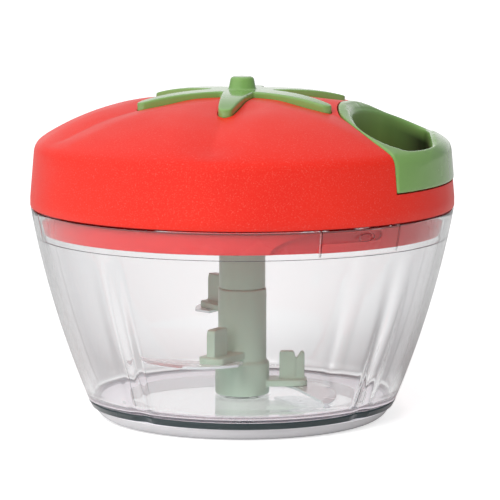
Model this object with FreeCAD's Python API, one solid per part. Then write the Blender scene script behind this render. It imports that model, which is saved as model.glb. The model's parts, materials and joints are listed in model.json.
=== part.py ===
import FreeCAD, Part
import math
import os

# Pull-string food chopper: a clear lobed bowl, a red tomato-shaped lid with a green
# calyx and a green pull handle, a cord reel inside the lid, and a column with three
# curved blades that turns on a pin in the bowl.
# Millimetres. +Z is up, the origin is the middle of the foot, and the front is -Y.
# A bearing is an angle in degrees from the front, counter-clockwise seen from above.

vec = FreeCAD.Vector

# Clearances
slip = 0.3          # between parts that move past each other
fit = 0.1           # between parts that are assembled and stay put
running = 0.05      # radial play of a turning fit
seat = 0.01         # under a piece that is set down on another

# Foot and bowl
foot_inset = 5.9
foot_flare = 4.0
foot_height = 4.1
foot_wall = 5.0
foot_lip = 0.8
band_height = 2.2
band_wall = 2.4
bowl_base_radius = 49.4
bowl_rim_radius = 67.4
bowl_rim_height = 67.9
bowl_bulge = 1.8
bowl_wall = 2.8
bowl_rim_wall = 2.2
bowl_floor = 3.3
ledge_depth = 8.8
rim_zone = 9.9
lobe_count = 4
lobe_bearing = 4.75
lobe_shift = 4.2
groove_half_angle = 5.0
groove_depth = 0.8
lug_count = 3
lug_bearing = 34.2
lug_half_width = 3.1
lug_half_height = 1.2
lug_depth = 0.35
pad_start = 21.4
pad_end = 46.8
pad_depth = 0.15

# Spindle in the bowl floor
spindle_radius = 2.0
spindle_length = 18.0
spindle_seat = 2.3
spindle_chamfer = 0.5
spindle_boss_radius = 4.6
spindle_boss_height = 1.0

# Blade column
column_foot_wall = 3.7
column_foot_height = 10.8
column_radius = 7.75
column_sleeve_wall = 2.8
column_sleeve_length = 22.8
column_tenon_radius = 6.2
column_tenon_height = 6.0
column_top_gap = 1.6
bush_wall = 3.0
bush_height = 16.0
hex_across = 8.0
hex_depth = 13.0
hex_end_gap = 1.0

# Blades and the arms that hold them
arm_reach = 20.8
arm_width = 9.0
arm_thickness = 2.1
arm_corner = 2.0
fin_start = 11.9
fin_end = 20.0
fin_width = 3.0
fin_height = 8.8
fin_corner = 1.1
notch_start = 16.9
notch_end = 19.0
notch_bottom = 0.5
notch_depth = 2.3
blade_thickness = 0.8
blade_root_inner = (10.4, 6.2)
blade_root_outer = (16.5, 8.0)
blade_belly = (28.6, -5.5)
blade_tip = (26.6, -24.0)
blade_tip_back = (25.4, -24.8)
blade_hollow = (18.6, -9.0)
blade_fold = -5.2
blade_bevel = 0.5
blade_bevel_width = 2.2
blade_grind_margin = 4.0
blade_names = ("lower", "middle", "upper")
arm_shares = (0.1483, 0.4244, 0.811)     # of the way from the floor to the sleeve
arm_bearings = (90.0, -30.0, 210.0)
blade_pitches = (-4.0, 3.0, 20.0)

# Top cover
lid_overhang = 0.1
lid_wall = 2.0
lid_straight = 3.0
lid_side = 20.1
lid_draft = 1.5
shoulder_fillet = 3.2
dome_rise = 14.9
dome_power = 2.75
dome_wall = 3.2
valley_count = 6
valley_bearing = -9.0
valley_depth = 1.4
valley_tube = 12.0
valley_inner = 14.0
valley_end_inset = 3.5

# Calyx
leaf_inset = 32.3
leaf_root_width = 10.5
leaf_tip_width = 4.6
calyx_hub_radius = 8.5
calyx_rise = 1.9
calyx_edge_inset = 5.5
calyx_recess = 2.2
stub_base_radius = 4.4
stub_top_radius = 3.6
stub_rise = 6.0
stub_rounding = 0.9

# Pull handle and its pocket
handle_bearing = 76.0
handle_length = 35.5
handle_tip_radius = 36.0
handle_side = 11.0
handle_skin = 2.3
handle_gap = 0.35
grip_depth = 4.2
hole_edge = 4.9
hole_radius = 45.0
hole_corner = 8.5
hole_skirt = 2.2
pocket_wall = 1.6
pocket_floor = 1.5

# Lower cover
skirt_length = 7.2
skirt_wall = 2.2
skirt_play = 0.5
deck_drop = 1.7
deck_thickness = 2.0
shelf_thickness = 1.2
bush_seat_height = 4.8
collar_radius = 11.4
collar_wall = 2.0
collar_depth = 3.8
slot_mouth_start = 7.6
slot_mouth_end = 21.4
slot_end = 41.0
slot_rise = 2.9
slot_height = 3.0
slot_mouth_height = 4.3
slot_depth = 1.2
seal_height = 0.9
seal_depth = 0.8
seal_proud = 0.2

# Drive shaft, ratchet, reel
shaft_journal_radius = 6.0
shaft_bush_wall = 1.8
shaft_collar_radius = 9.0
shaft_collar_height = 1.0
axle_radius = 4.0
axle_overrun = 2.2
ratchet_radius = 13.0
ratchet_teeth = 12
ratchet_thickness = 4.0
tooth_depth = 1.8
tooth_face = 1.0
pawl_count = 2
pawl_pin_radius = 1.5
pawl_pin_head = 0.9
pawl_pin_head_height = 0.5
pawl_pin_gap = 5.0
pawl_eye_wall = 1.7
pawl_thickness = 3.4
pawl_reach = 39.0
pawl_root_angle = 3.0
pawl_belly_angle = 20.0
pawl_back_angle = 22.0
pawl_nose_angle = 4.0
pawl_nose_gap = 1.4
reel_web = 1.6
reel_flange_depth = 6.5
reel_flange = 1.5
reel_core_wall = 1.6
reel_width = 5.4
reel_boss_wall = 1.75
reel_boss_height = 1.0
cord_diameter = 1.3
spring_turns = 8
spring_slack = 1.7
spring_strip = 0.45
spring_width = 4.6
arbor_wall = 2.0
arbor_flange_radius = 9.0
arbor_flange = 0.3
cap_thickness = 1.2
cap_lap = 2.0
cap_gap = 0.7
housing_gap = 1.5
housing_wall = 1.4
housing_plate = 2.0
housing_headroom = 1.3
housing_foot_radius = 3.6
housing_foot_height = 4.5
housing_foot_bearings = (10.0, 160.0, 250.0)
window_half_width = 5.5
window_half_height = 2.0
clip_radius = 6.2
clip_thickness = 0.8
clip_groove = 0.8

# Cord from the reel to the handle
cord_bend = 3.0
eyelet_radius = 2.6
eyelet_length = 2.15
cord_hole = 1.0
stop_radius = 2.0
stop_length = 3.0
stop_rounding = 0.6

# Screws
screw_radius = 1.5
screw_head_radius = 2.8
screw_head = 1.8
screw_slot = 0.7
screw_slot_length = 3.6
screw_slot_depth = 0.8
cover_screw_length = 12.0
cover_boss_wall = 1.9
cover_screw_inset = 15.5
cover_screw_bearings = (-15.0, 150.0, 235.0)

# Heights that follow
bowl_bottom = foot_height
lobe_start = bowl_bottom + band_height
floor_top = bowl_bottom + bowl_floor
bowl_ledge_height = bowl_rim_height - ledge_depth
rim_start = bowl_rim_height - rim_zone
lid_bottom = bowl_rim_height + slip
shoulder_height = lid_bottom + lid_side
dome_height = shoulder_height + dome_rise
overall_height = dome_height + stub_rise
handle_bottom = shoulder_height - handle_side
skirt_bottom = bowl_rim_height - skirt_length
deck_bottom = bowl_rim_height - deck_drop
deck_top = deck_bottom + deck_thickness
collar_bottom = deck_bottom - collar_depth
slot_bottom = skirt_bottom + slot_rise
slot_top = slot_bottom + slot_height
seal_bottom = bowl_rim_height - seal_height
column_bottom = floor_top + slip
column_top_height = deck_bottom - column_top_gap
column_joint_height = column_top_height - column_sleeve_length
arm_heights = [floor_top + share * (column_joint_height - floor_top) for share in arm_shares]
journal_top = deck_top + bush_seat_height
ratchet_bottom = journal_top + shaft_collar_height + slip
ratchet_top = ratchet_bottom + ratchet_thickness
web_bottom = ratchet_top + slip
web_top = web_bottom + reel_web
winding_middle = web_top + reel_width / 2
reel_top = web_top + reel_width + reel_flange
cap_top = reel_top + cap_thickness
housing_top = cap_top + housing_headroom + housing_plate
pawl_bottom = web_bottom - slip / 2 - pawl_thickness

# Radii that follow
foot_radius = bowl_base_radius - foot_inset
lid_radius = bowl_rim_radius + lid_overhang
shoulder_radius = lid_radius - lid_draft
valley_outer = shoulder_radius - valley_end_inset
valley_middle = (valley_inner + valley_outer) / 2
calyx_edge_radius = shoulder_radius - calyx_edge_inset
leaf_reach = lid_radius - leaf_inset
handle_start = lid_radius - handle_length
grip_inner_radius = lid_radius - grip_depth
hole_start = handle_start + hole_edge
bush_radius = spindle_radius + bush_wall
column_foot_radius = bush_radius + column_foot_wall
hex_corner = hex_across / 2 / math.cos(math.radians(30))
column_sleeve_radius = hex_corner + column_sleeve_wall
ratchet_root = ratchet_radius - tooth_depth
pawl_pin_orbit = ratchet_radius + pawl_pin_gap
pawl_eye_radius = pawl_pin_radius + pawl_eye_wall
eyelet_end = handle_start - handle_gap
eyelet_start = eyelet_end - eyelet_length
housing_radius = eyelet_start - fit
housing_foot_orbit = housing_radius + housing_foot_radius * 0.8
reel_flange_radius = housing_radius - housing_wall - housing_gap
reel_core_radius = reel_flange_radius - reel_flange_depth
reel_core_bore = reel_core_radius - reel_core_wall
reel_bore = axle_radius + running
reel_boss_radius = reel_bore + reel_boss_wall
cord_radius = cord_diameter / 2
winding_radius = reel_core_radius + cord_diameter
arbor_radius = axle_radius + slip + arbor_wall
spring_pitch = (reel_core_bore - arbor_radius - spring_slack) / spring_turns
cover_screw_orbit = lid_radius - cover_screw_inset
cover_boss_radius = screw_radius + cover_boss_wall


def ring(outer, inner, bottom, height):
    tube = Part.makeCylinder(outer, height, vec(0, 0, bottom))
    return tube.cut(Part.makeCylinder(inner, height + 2, vec(0, 0, bottom - 1)))


def disc(radius, bottom, height, at=(0, 0)):
    return Part.makeCylinder(radius, height, vec(at[0], at[1], bottom))


def turned(profile):
    """A solid of revolution from corners given as (radius, height)."""
    corners = [vec(r, 0, z) for r, z in profile]
    outline = Part.makePolygon(corners + corners[:1])
    return Part.Face(outline).revolve(vec(0, 0, 0), vec(0, 0, 1), 360)


def aimed(shape, bearing):
    """Turns a shape drawn along +X so that it points at a bearing."""
    moved = shape.copy()
    moved.rotate(vec(0, 0, 0), vec(0, 0, 1), bearing - 90)
    return moved


def spot(radius, bearing):
    angle = math.radians(bearing - 90)
    return (radius * math.cos(angle), radius * math.sin(angle))


def box(x0, x1, y0, y1, z0, z1):
    return Part.makeBox(x1 - x0, y1 - y0, z1 - z0, vec(x0, y0, z0))


def prism(edges, bottom, height):
    face = Part.Face(Part.Wire(edges))
    solid = face.extrude(vec(0, 0, height))
    solid.translate(vec(0, 0, bottom))
    return solid


def arc(start, middle, end):
    points = [vec(p[0], p[1], 0) for p in (start, middle, end)]
    return Part.Arc(*points).toShape()


def line(start, end):
    return Part.LineSegment(vec(start[0], start[1], 0), vec(end[0], end[1], 0)).toShape()


def sector(start, end, radius, bottom, height):
    """A wedge of a disc between two bearings."""
    wedge = Part.makeCylinder(radius, height, vec(0, 0, bottom), vec(0, 0, 1), end - start)
    return aimed(wedge, start)


def hexagon(corner_radius, bottom, height):
    corners = [vec(*spot(corner_radius, 60 * k), bottom) for k in range(6)]
    outline = Part.makePolygon(corners + corners[:1])
    return Part.Face(outline).extrude(vec(0, 0, height))


def joined(shapes):
    shapes = list(shapes)
    return shapes[0].fuse(shapes[1:]).removeSplitter() if len(shapes) > 1 else shapes[0]


# Bowl

def bowl_radius(z):
    share = (z - lobe_start) / (bowl_rim_height - lobe_start)
    straight = bowl_base_radius + (bowl_rim_radius - bowl_base_radius) * share
    return straight + 4 * bowl_bulge * share * (1 - share)


def lobe_wire(radius, shift, z):
    """Lobe arcs whose centres are shifted outwards, with a short groove between them."""
    lobe = radius - shift
    half = 180.0 / lobe_count - groove_half_angle
    depth = groove_depth * shift / lobe_shift

    def reach(off):
        angle = math.radians(off)
        return shift * math.cos(angle) + math.sqrt(lobe ** 2 - (shift * math.sin(angle)) ** 2)

    edges = []
    for k in range(lobe_count):
        middle = lobe_bearing + 360.0 / lobe_count * k
        first = vec(*spot(reach(-half), middle - half), z)
        top = vec(*spot(radius, middle), z)
        last = vec(*spot(reach(half), middle + half), z)
        valley_at = middle + 180.0 / lobe_count
        valley_reach = reach(180.0 / lobe_count) - depth
        valley = vec(*spot(valley_reach, valley_at), z)
        after = vec(*spot(reach(half), valley_at + groove_half_angle), z)
        edges.append(Part.Arc(first, top, last).toShape())
        edges.append(Part.Arc(last, valley, after).toShape())
    return Part.Wire(edges)


def lobed_solid(inset, bottom, top):
    """The lobed part of the bowl, its lobes fading out towards the rim zone."""
    steps = 5
    wires = []
    for k in range(steps + 1):
        z = bottom + (top - bottom) * k / steps
        fade = max(0.0, (rim_start - z) / (rim_start - lobe_start))
        wires.append(lobe_wire(bowl_radius(z) - inset, lobe_shift * min(fade, 1.0), z))
    return Part.makeLoft(wires, True, False)


def rim_bore(z):
    return bowl_radius(z) - bowl_rim_wall


def rim_cone(inset, bottom, top):
    height = top - bottom
    return Part.makeCone(rim_bore(bottom) - inset, rim_bore(top) - inset, height, vec(0, 0, bottom))


def make_bowl():
    body = lobed_solid(0, lobe_start, rim_start)
    rim = turned([(0, rim_start), (bowl_radius(rim_start), rim_start),
                  (bowl_radius(bowl_rim_height), bowl_rim_height), (0, bowl_rim_height)])
    plug = lobed_solid(band_wall, bowl_bottom, lobe_start)
    body = body.fuse([rim, plug])
    inside = lobed_solid(bowl_wall, floor_top, rim_start)
    neck = turned([(0, rim_start), (bowl_radius(rim_start) - bowl_wall, rim_start),
                   (bowl_radius(bowl_ledge_height) - bowl_wall, bowl_ledge_height), (0, bowl_ledge_height)])
    bore = rim_cone(0, bowl_ledge_height, bowl_rim_height)
    body = body.cut(inside.fuse([neck, bore]))
    boss = disc(spindle_boss_radius, bowl_bottom, bowl_floor + spindle_boss_height)
    seat_height = floor_top - spindle_seat
    pin_hole = disc(spindle_radius + seat, seat_height, bowl_floor + spindle_boss_height)
    body = body.fuse(boss).cut(pin_hole)
    return body.fuse(bowl_lugs()).removeSplitter()


def lug_stamp():
    """An oval bar that points outwards at the height of the lid's slots."""
    oval = Part.Ellipse(vec(0, 0, 0), lug_half_width, lug_half_height).toShape()
    bar = Part.Face(Part.Wire([oval])).extrude(vec(0, 0, 2 * bowl_rim_radius))
    bar.rotate(vec(0, 0, 0), vec(1, 0, 0), 90)
    bar.rotate(vec(0, 0, 0), vec(0, 0, 1), 90)
    bar.translate(vec(0, 0, (slot_bottom + slot_top) / 2))
    return bar


def bowl_lugs():
    """Low pads inside the rim, each with an oval lug on it."""
    low, top = bowl_ledge_height, bowl_rim_height
    wall = rim_cone(-bowl_rim_wall / 2, low, top)
    pad = wall.cut(rim_cone(pad_depth, low, top))
    lug = wall.cut(rim_cone(lug_depth, low, top))
    pieces = []
    for k in range(lug_count):
        step = 360.0 / lug_count * k
        pieces.append(pad.common(sector(pad_start + step, pad_end + step, bowl_rim_radius, 0, top)))
        pieces.append(lug.common(aimed(lug_stamp(), lug_bearing + step)))
    return pieces


def make_base_band():
    outer = lobed_solid(0, bowl_bottom, lobe_start)
    inner = lobed_solid(band_wall, bowl_bottom - 1, lobe_start + 1)
    return outer.cut(inner)


def make_foot_ring():
    top_radius = foot_radius + foot_flare
    inner = foot_radius - foot_wall
    return turned([(inner, 0), (foot_radius, 0), (top_radius - foot_lip, foot_height - foot_lip),
                   (top_radius, foot_height), (inner - foot_lip, foot_height)])


def make_spindle():
    bottom = floor_top - spindle_seat
    top = bottom + spindle_length
    shank = disc(spindle_radius, bottom, spindle_length - spindle_chamfer)
    point = Part.makeCone(spindle_radius, spindle_radius - spindle_chamfer, spindle_chamfer,
                          vec(0, 0, top - spindle_chamfer))
    return shank.fuse(point).removeSplitter()


# Blade column

def make_arm(bearing, top):
    """A flat arm with an upright fin that has a notch in its crest."""
    plate = box(0, arm_reach, -arm_width / 2, arm_width / 2, top - arm_thickness, top)
    corners = [e for e in plate.Edges if e.BoundBox.ZLength > arm_thickness * 0.9 and e.BoundBox.XMin > 1]
    plate = plate.makeFillet(arm_corner, corners)
    crest = top + fin_height
    fin = box(fin_start, fin_end, -fin_width / 2, fin_width / 2, top - arm_thickness, crest)
    rims = [e for e in fin.Edges if e.BoundBox.ZMin > crest - fit and e.BoundBox.YLength > fin_width / 2]
    fin = fin.makeFillet(fin_corner, rims)
    notch = [(notch_start, -notch_depth), (notch_start, 1), (notch_end, 1),
             (notch_start + notch_bottom, -notch_depth)]
    corners = [vec(x, -fin_width, crest + z) for x, z in notch]
    cutter = Part.Face(Part.makePolygon(corners + corners[:1])).extrude(vec(0, 2 * fin_width, 0))
    return aimed(plate.fuse(fin.cut(cutter)), bearing)


def make_column():
    foot = disc(column_foot_radius, column_bottom, column_foot_height)
    shank = disc(column_radius, column_bottom, column_joint_height - column_bottom)
    tenon = disc(column_tenon_radius, column_joint_height, column_tenon_height)
    arms = [make_arm(b, z) for b, z in zip(arm_bearings, arm_heights)]
    column = foot.fuse([shank, tenon] + arms)
    socket = disc(bush_radius, column_bottom - 1, bush_height + 1)
    return column.cut(socket).removeSplitter()


def make_column_sleeve():
    height = column_top_height - column_joint_height
    sleeve = disc(column_sleeve_radius, column_joint_height, height)
    mortise = disc(column_tenon_radius, column_joint_height - 1, column_tenon_height + 1)
    socket = hexagon(hex_corner + slip, column_top_height - hex_depth, hex_depth + 1)
    return sleeve.cut(mortise).cut(socket)


def make_column_bush():
    bottom = column_bottom + spindle_boss_height + slip
    return ring(bush_radius, spindle_radius + running, bottom, column_bottom + bush_height - bottom)


def make_blade(bearing, top, pitch):
    """A curved blade from one blank, ground along its outer edge and folded past the arm."""
    bottom = top - blade_thickness
    edge = arc(blade_root_outer, blade_belly, blade_tip)
    outline = [line(blade_root_inner, blade_root_outer), edge, line(blade_tip, blade_tip_back),
               arc(blade_tip_back, blade_hollow, blade_root_inner)]
    blank = prism(outline, bottom, blade_thickness)
    reach = blade_belly[0] * 2
    root = blank.common(box(0, reach, blade_fold, reach, bottom - 1, top + 1))
    wing = blank.common(box(0, reach, -reach, blade_fold, bottom - 1, top + 1))
    wing = wing.cut(bevel_tool(edge.Curve, top))
    wing.rotate(vec(0, blade_fold, bottom if pitch > 0 else top), vec(1, 0, 0), -pitch)
    return aimed(root.fuse(wing).removeSplitter(), bearing)


def bevel_tool(edge_circle, top):
    """What grinding takes off: the space outside a cone whose foot is the blade's outer edge."""
    centre = (edge_circle.Center.x, edge_circle.Center.y)
    radius = edge_circle.Radius
    cone = Part.makeCone(radius, radius - blade_bevel_width, blade_bevel, vec(*centre, top - blade_bevel))
    return disc(radius + blade_grind_margin, top - blade_bevel, blade_bevel, centre).cut(cone)


# Lid shell

def dome_at(radius, apex, edge_radius, edge_height):
    return edge_height + (apex - edge_height) * (1 - (radius / edge_radius) ** dome_power)


def dome_solid(apex, edge_radius, edge_height, bottom):
    """Everything under a dome curve, down to a bottom height."""
    radii = [edge_radius * share for share in (0, 0.15, 0.3, 0.45, 0.6, 0.72, 0.82, 0.91, 1)]
    points = [vec(r, 0, dome_at(r, apex, edge_radius, edge_height)) for r in radii]
    crown = Part.BSplineCurve()
    crown.interpolate(points)
    corners = [points[-1], vec(edge_radius, 0, bottom), vec(0, 0, bottom), points[0]]
    sides = [Part.LineSegment(a, b).toShape() for a, b in zip(corners, corners[1:])]
    face = Part.Face(Part.Wire([crown.toShape()] + sides))
    return face.revolve(vec(0, 0, 0), vec(0, 0, 1), 360)


def lid_block():
    """The full outer form of the lid, without its valleys."""
    wall = turned([(0, lid_bottom), (lid_radius, lid_bottom), (lid_radius, lid_bottom + lid_straight),
                   (shoulder_radius, shoulder_height), (0, shoulder_height)])
    block = wall.fuse(dome_solid(dome_height, shoulder_radius, shoulder_height, lid_bottom + lid_straight))
    block = block.removeSplitter()
    shoulder = [e for e in block.Edges if abs(e.BoundBox.ZMin - shoulder_height) < seat
                and e.BoundBox.ZLength < seat and e.BoundBox.XLength > shoulder_radius]
    return block.makeFillet(shoulder_fillet, shoulder)


def lid_hollow():
    inner_radius = shoulder_radius - lid_wall
    inner_height = shoulder_height - dome_wall
    straight_top = lid_bottom + lid_straight
    wall = turned([(0, lid_bottom - 1), (lid_radius - lid_wall, lid_bottom - 1),
                   (lid_radius - lid_wall, straight_top), (inner_radius, inner_height), (0, inner_height)])
    return wall.fuse(dome_solid(dome_height - dome_wall, inner_radius, inner_height, straight_top))


def valley_cutter(bearing):
    """A bent tube lying on the dome along one bearing; it cuts a shallow valley."""
    points = []
    for radius, depth in ((valley_inner, 0.0), (valley_middle, valley_depth), (valley_outer, 0.0)):
        height = dome_at(radius, dome_height, shoulder_radius, shoulder_height)
        points.append(vec(radius, 0, height - depth))
    circle = Part.Arc(*points).toShape().Curve
    centre, bend = circle.Center, circle.Radius
    tube = Part.makeTorus(bend + valley_tube, valley_tube, centre, vec(0, 1, 0))
    window = box(valley_inner / 2, 2 * lid_radius, -valley_tube, valley_tube,
                 shoulder_height - shoulder_fillet, 2 * overall_height)
    return aimed(tube.common(window), bearing)


def handle_outline(grow, bottom, height):
    """Seen from above: part of one large circle whose middle lies near the lid's wall."""
    centre = spot(handle_start + handle_tip_radius, 90)
    return disc(handle_tip_radius + grow, bottom, height, centre)


def finger_hole(grow, bottom, height):
    """Round towards the middle of the lid, parallel to the lid's wall on the outer side."""
    centre = hole_start + hole_radius
    inner, outer, corner = hole_radius + grow, grip_inner_radius + grow / 2, hole_corner + grow
    x = ((outer - corner) ** 2 - (inner - corner) ** 2 + centre ** 2) / 2 / centre
    bend = vec(x, math.sqrt((outer - corner) ** 2 - x ** 2), 0)
    from_axis = bend * (1 / bend.Length)
    from_centre = (bend - vec(centre, 0, 0)).normalize()
    on_inner = vec(centre, 0, 0) + from_centre * inner
    on_outer = from_axis * outer
    on_corner = bend + (from_centre + from_axis).normalize() * corner
    below = [vec(p.x, -p.y, 0) for p in (on_inner, on_corner, on_outer)]
    edges = [arc(below[0], (centre - inner, 0), on_inner), arc(on_inner, on_corner, on_outer),
             arc(on_outer, (outer, 0), below[2]), arc(below[2], below[1], below[0])]
    return prism(edges, bottom, height)


def make_handle():
    tall = overall_height
    block = lid_block().common(aimed(handle_outline(0, handle_bottom, tall), handle_bearing))
    under = dome_solid(dome_height - handle_skin, shoulder_radius - handle_skin,
                       shoulder_height - handle_skin, handle_bottom - 1)
    hollow = under.common(disc(grip_inner_radius, 0, tall))
    skirt = aimed(finger_hole(hole_skirt, handle_bottom, tall), handle_bearing)
    shell = block.cut(hollow.cut(skirt))
    hole = aimed(finger_hole(0, handle_bottom - 1, tall), handle_bearing)
    shell = shell.cut(hole)
    passage = Part.makeCylinder(cord_hole, hole_start + hole_edge, vec(0, 0, winding_middle), vec(1, 0, 0))
    return shell.cut(aimed(passage, handle_bearing))


def make_top_cover():
    tall = overall_height
    block = lid_block()
    valleys = [valley_cutter(valley_bearing + 360.0 / valley_count * k) for k in range(valley_count)]
    shell = block.cut(valleys).cut(lid_hollow())
    outer = handle_outline(handle_gap + pocket_wall, handle_bottom - handle_gap - pocket_floor, tall)
    inner = handle_outline(handle_gap, handle_bottom - handle_gap, tall)
    pocket = block.common(aimed(outer, handle_bearing))
    shell = shell.fuse(pocket).cut(aimed(inner, handle_bearing))
    bed = dome_solid(dome_height - calyx_recess, shoulder_radius, shoulder_height - calyx_recess, 0)
    recess = calyx_star(fit).cut(bed)
    passage = Part.makeCylinder(eyelet_radius + fit, hole_start, vec(0, 0, winding_middle), vec(1, 0, 0))
    shell = shell.cut([recess, aimed(passage, handle_bearing)])
    return shell.fuse(cover_bosses()).cut(cover_screw_holes()).removeSplitter()


def cover_bosses():
    posts = joined(disc(cover_boss_radius, deck_top, overall_height - deck_top, spot(cover_screw_orbit, b))
                   for b in cover_screw_bearings)
    return posts.common(lid_hollow())


def cover_screw_holes():
    return [disc(screw_radius, deck_top - 1, cover_screw_length, spot(cover_screw_orbit, b))
            for b in cover_screw_bearings]


def calyx_star(grow):
    """Six tapering leaves with round ends, and a round hub, as a tall prism."""
    bottom = shoulder_height
    height = overall_height - bottom
    root = leaf_root_width / 2 + grow
    tip = leaf_tip_width / 2 + grow
    straight = leaf_reach - leaf_tip_width / 2
    left, right = (straight, -tip), (straight, tip)
    edges = [line((0, -root), left), arc(left, (leaf_reach + grow, 0), right),
             line(right, (0, root)), line((0, root), (0, -root))]
    leaf = prism(edges, bottom, height)
    leaves = [aimed(leaf, valley_bearing + 360.0 / valley_count * k) for k in range(valley_count)]
    hub = disc(calyx_hub_radius + grow, bottom, height)
    return hub.fuse(leaves).removeSplitter()


def make_calyx():
    star = calyx_star(0)
    top = dome_solid(dome_height + calyx_rise, calyx_edge_radius, shoulder_height, 0)
    depth = calyx_recess - fit
    bed = dome_solid(dome_height - depth, shoulder_radius, shoulder_height - depth, 0)
    stub = Part.makeCone(stub_base_radius, stub_top_radius, stub_rise, vec(0, 0, dome_height))
    crown = [e for e in stub.Edges if e.BoundBox.ZMin > overall_height - fit]
    stub = stub.makeFillet(stub_rounding, crown)
    return star.common(top).cut(bed).fuse(stub).removeSplitter()


# Lower cover

def make_lower_cover():
    outside = rim_cone(skirt_play, skirt_bottom, bowl_rim_height)
    skirt = outside.cut(rim_cone(skirt_play + skirt_wall, skirt_bottom - 1, bowl_rim_height))
    deck = disc(rim_bore(deck_bottom) - skirt_play - fit, deck_bottom, deck_thickness)
    hoop_radius = lid_radius - lid_wall - fit
    hoop_bore = disc(hoop_radius - skirt_wall, deck_top, lid_side)
    hoop = disc(hoop_radius, lid_bottom, lid_straight)
    neck_radius = rim_bore(bowl_rim_height) - skirt_play
    neck = disc(neck_radius, bowl_rim_height - shelf_thickness / 2, shelf_thickness)
    rim = hoop.fuse(neck).cut(hoop_bore)
    seat_radius = shaft_journal_radius + shaft_bush_wall
    collar = disc(collar_radius, collar_bottom, collar_depth + deck_thickness / 2)
    hub = disc(seat_radius + collar_wall, deck_bottom, journal_top - deck_bottom)
    body = deck.fuse([skirt, rim, collar, hub])
    body = body.cut(disc(collar_radius - collar_wall, collar_bottom - 1, collar_depth + 1))
    body = body.cut(disc(seat_radius, deck_bottom - 1, journal_top - deck_bottom + 2))
    body = body.cut(slot_cutters() + [seal_groove()] + deck_screw_holes())
    return body.removeSplitter()


def slot_cutters():
    """L-shaped recesses for the lugs: a mouth open at the bottom, then a level channel."""
    outer = rim_cone(-skirt_play, skirt_bottom - 1, bowl_rim_height)
    band = outer.cut(rim_cone(skirt_play + slot_depth, skirt_bottom - 1, bowl_rim_height))
    lap = (slot_mouth_end - slot_mouth_start) / 3
    cutters = []
    for k in range(lug_count):
        step = 360.0 / lug_count * k
        mouth = sector(slot_mouth_start + step, slot_mouth_end + step, lid_radius,
                       skirt_bottom - 1, slot_mouth_height + 1)
        channel = sector(slot_mouth_end - lap + step, slot_end + step, lid_radius, slot_bottom, slot_height)
        cutters.append(band.common(mouth.fuse(channel)))
    return cutters


def seal_groove():
    band = disc(lid_radius, seal_bottom, seal_height)
    return band.cut(disc(rim_bore(seal_bottom) - skirt_play - seal_depth, seal_bottom, seal_height))


def make_seal():
    outer = rim_bore(seal_bottom) - skirt_play + seal_proud
    inner = rim_bore(seal_bottom) - skirt_play - seal_depth
    return ring(outer, inner, seal_bottom, seal_height)


def deck_screw_holes():
    holes = []
    for b in cover_screw_bearings:
        holes.append(disc(screw_radius, deck_bottom - 1, deck_thickness + 2, spot(cover_screw_orbit, b)))
    for b in housing_foot_bearings:
        holes.append(disc(screw_radius, deck_bottom - 1, deck_thickness + 2, spot(housing_foot_orbit, b)))
    return holes


def screw(length, at, head_top):
    """A screw driven from below: its head under the deck, its shank upwards."""
    bottom = head_top - screw_head
    head = disc(screw_head_radius, bottom, screw_head, at)
    long, short = screw_slot_length / 2, screw_slot / 2
    low, high = bottom - 1, bottom + screw_slot_depth
    cross = [box(at[0] - x, at[0] + x, at[1] - y, at[1] + y, low, high)
             for x, y in ((long, short), (short, long))]
    return head.cut(cross).fuse(disc(screw_radius, head_top, length, at)).removeSplitter()


def make_cover_screws():
    return Part.makeCompound([screw(cover_screw_length, spot(cover_screw_orbit, b), deck_bottom)
                              for b in cover_screw_bearings])


def make_housing_screws():
    length = deck_thickness + housing_foot_height - 1
    return Part.makeCompound([screw(length, spot(housing_foot_orbit, b), deck_bottom)
                              for b in housing_foot_bearings])


# Drive

def make_shaft_bush():
    outer = shaft_journal_radius + shaft_bush_wall
    return ring(outer, shaft_journal_radius + running, deck_bottom, journal_top - deck_bottom)


def make_drive_shaft():
    """From below: hexagon spigot, journal, collar under the ratchet, and the axle."""
    collar_bottom_at = journal_top + slip
    spigot_bottom = column_top_height - hex_depth + hex_end_gap
    spigot = hexagon(hex_corner, spigot_bottom, deck_bottom - spigot_bottom)
    journal = disc(shaft_journal_radius, deck_bottom, collar_bottom_at - deck_bottom)
    collar = disc(shaft_collar_radius, collar_bottom_at, shaft_collar_height)
    axle = disc(axle_radius, collar_bottom_at, housing_top + axle_overrun - collar_bottom_at)
    groove = ring(axle_radius + 1, axle_radius - clip_groove, housing_top + slip, clip_thickness)
    return spigot.fuse([journal, collar, axle]).cut(groove).removeSplitter()


def make_ratchet():
    """Saw teeth, with one steep face just ahead of each pawl's nose."""
    step = 360.0 / ratchet_teeth
    corners = []
    for k in range(ratchet_teeth):
        face_at = k * step - pawl_reach - tooth_face - pawl_nose_gap
        corners.append(vec(*spot(ratchet_radius, face_at), ratchet_bottom))
        corners.append(vec(*spot(ratchet_root, face_at + tooth_face), ratchet_bottom))
    wheel = Part.Face(Part.makePolygon(corners + corners[:1])).extrude(vec(0, 0, ratchet_thickness))
    return wheel.cut(disc(axle_radius, ratchet_bottom - 1, ratchet_thickness + 2))


def make_axle_clip():
    bore = axle_radius - clip_groove
    clip = ring(clip_radius, bore, housing_top + slip, clip_thickness)
    half = bore * 0.75
    return clip.cut(box(0, clip_radius + 1, -half, half, housing_top, housing_top + 2 * clip_thickness))


# Reel

def pawl_spots():
    return [spot(pawl_pin_orbit, 360.0 / pawl_count * k) for k in range(pawl_count)]


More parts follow.
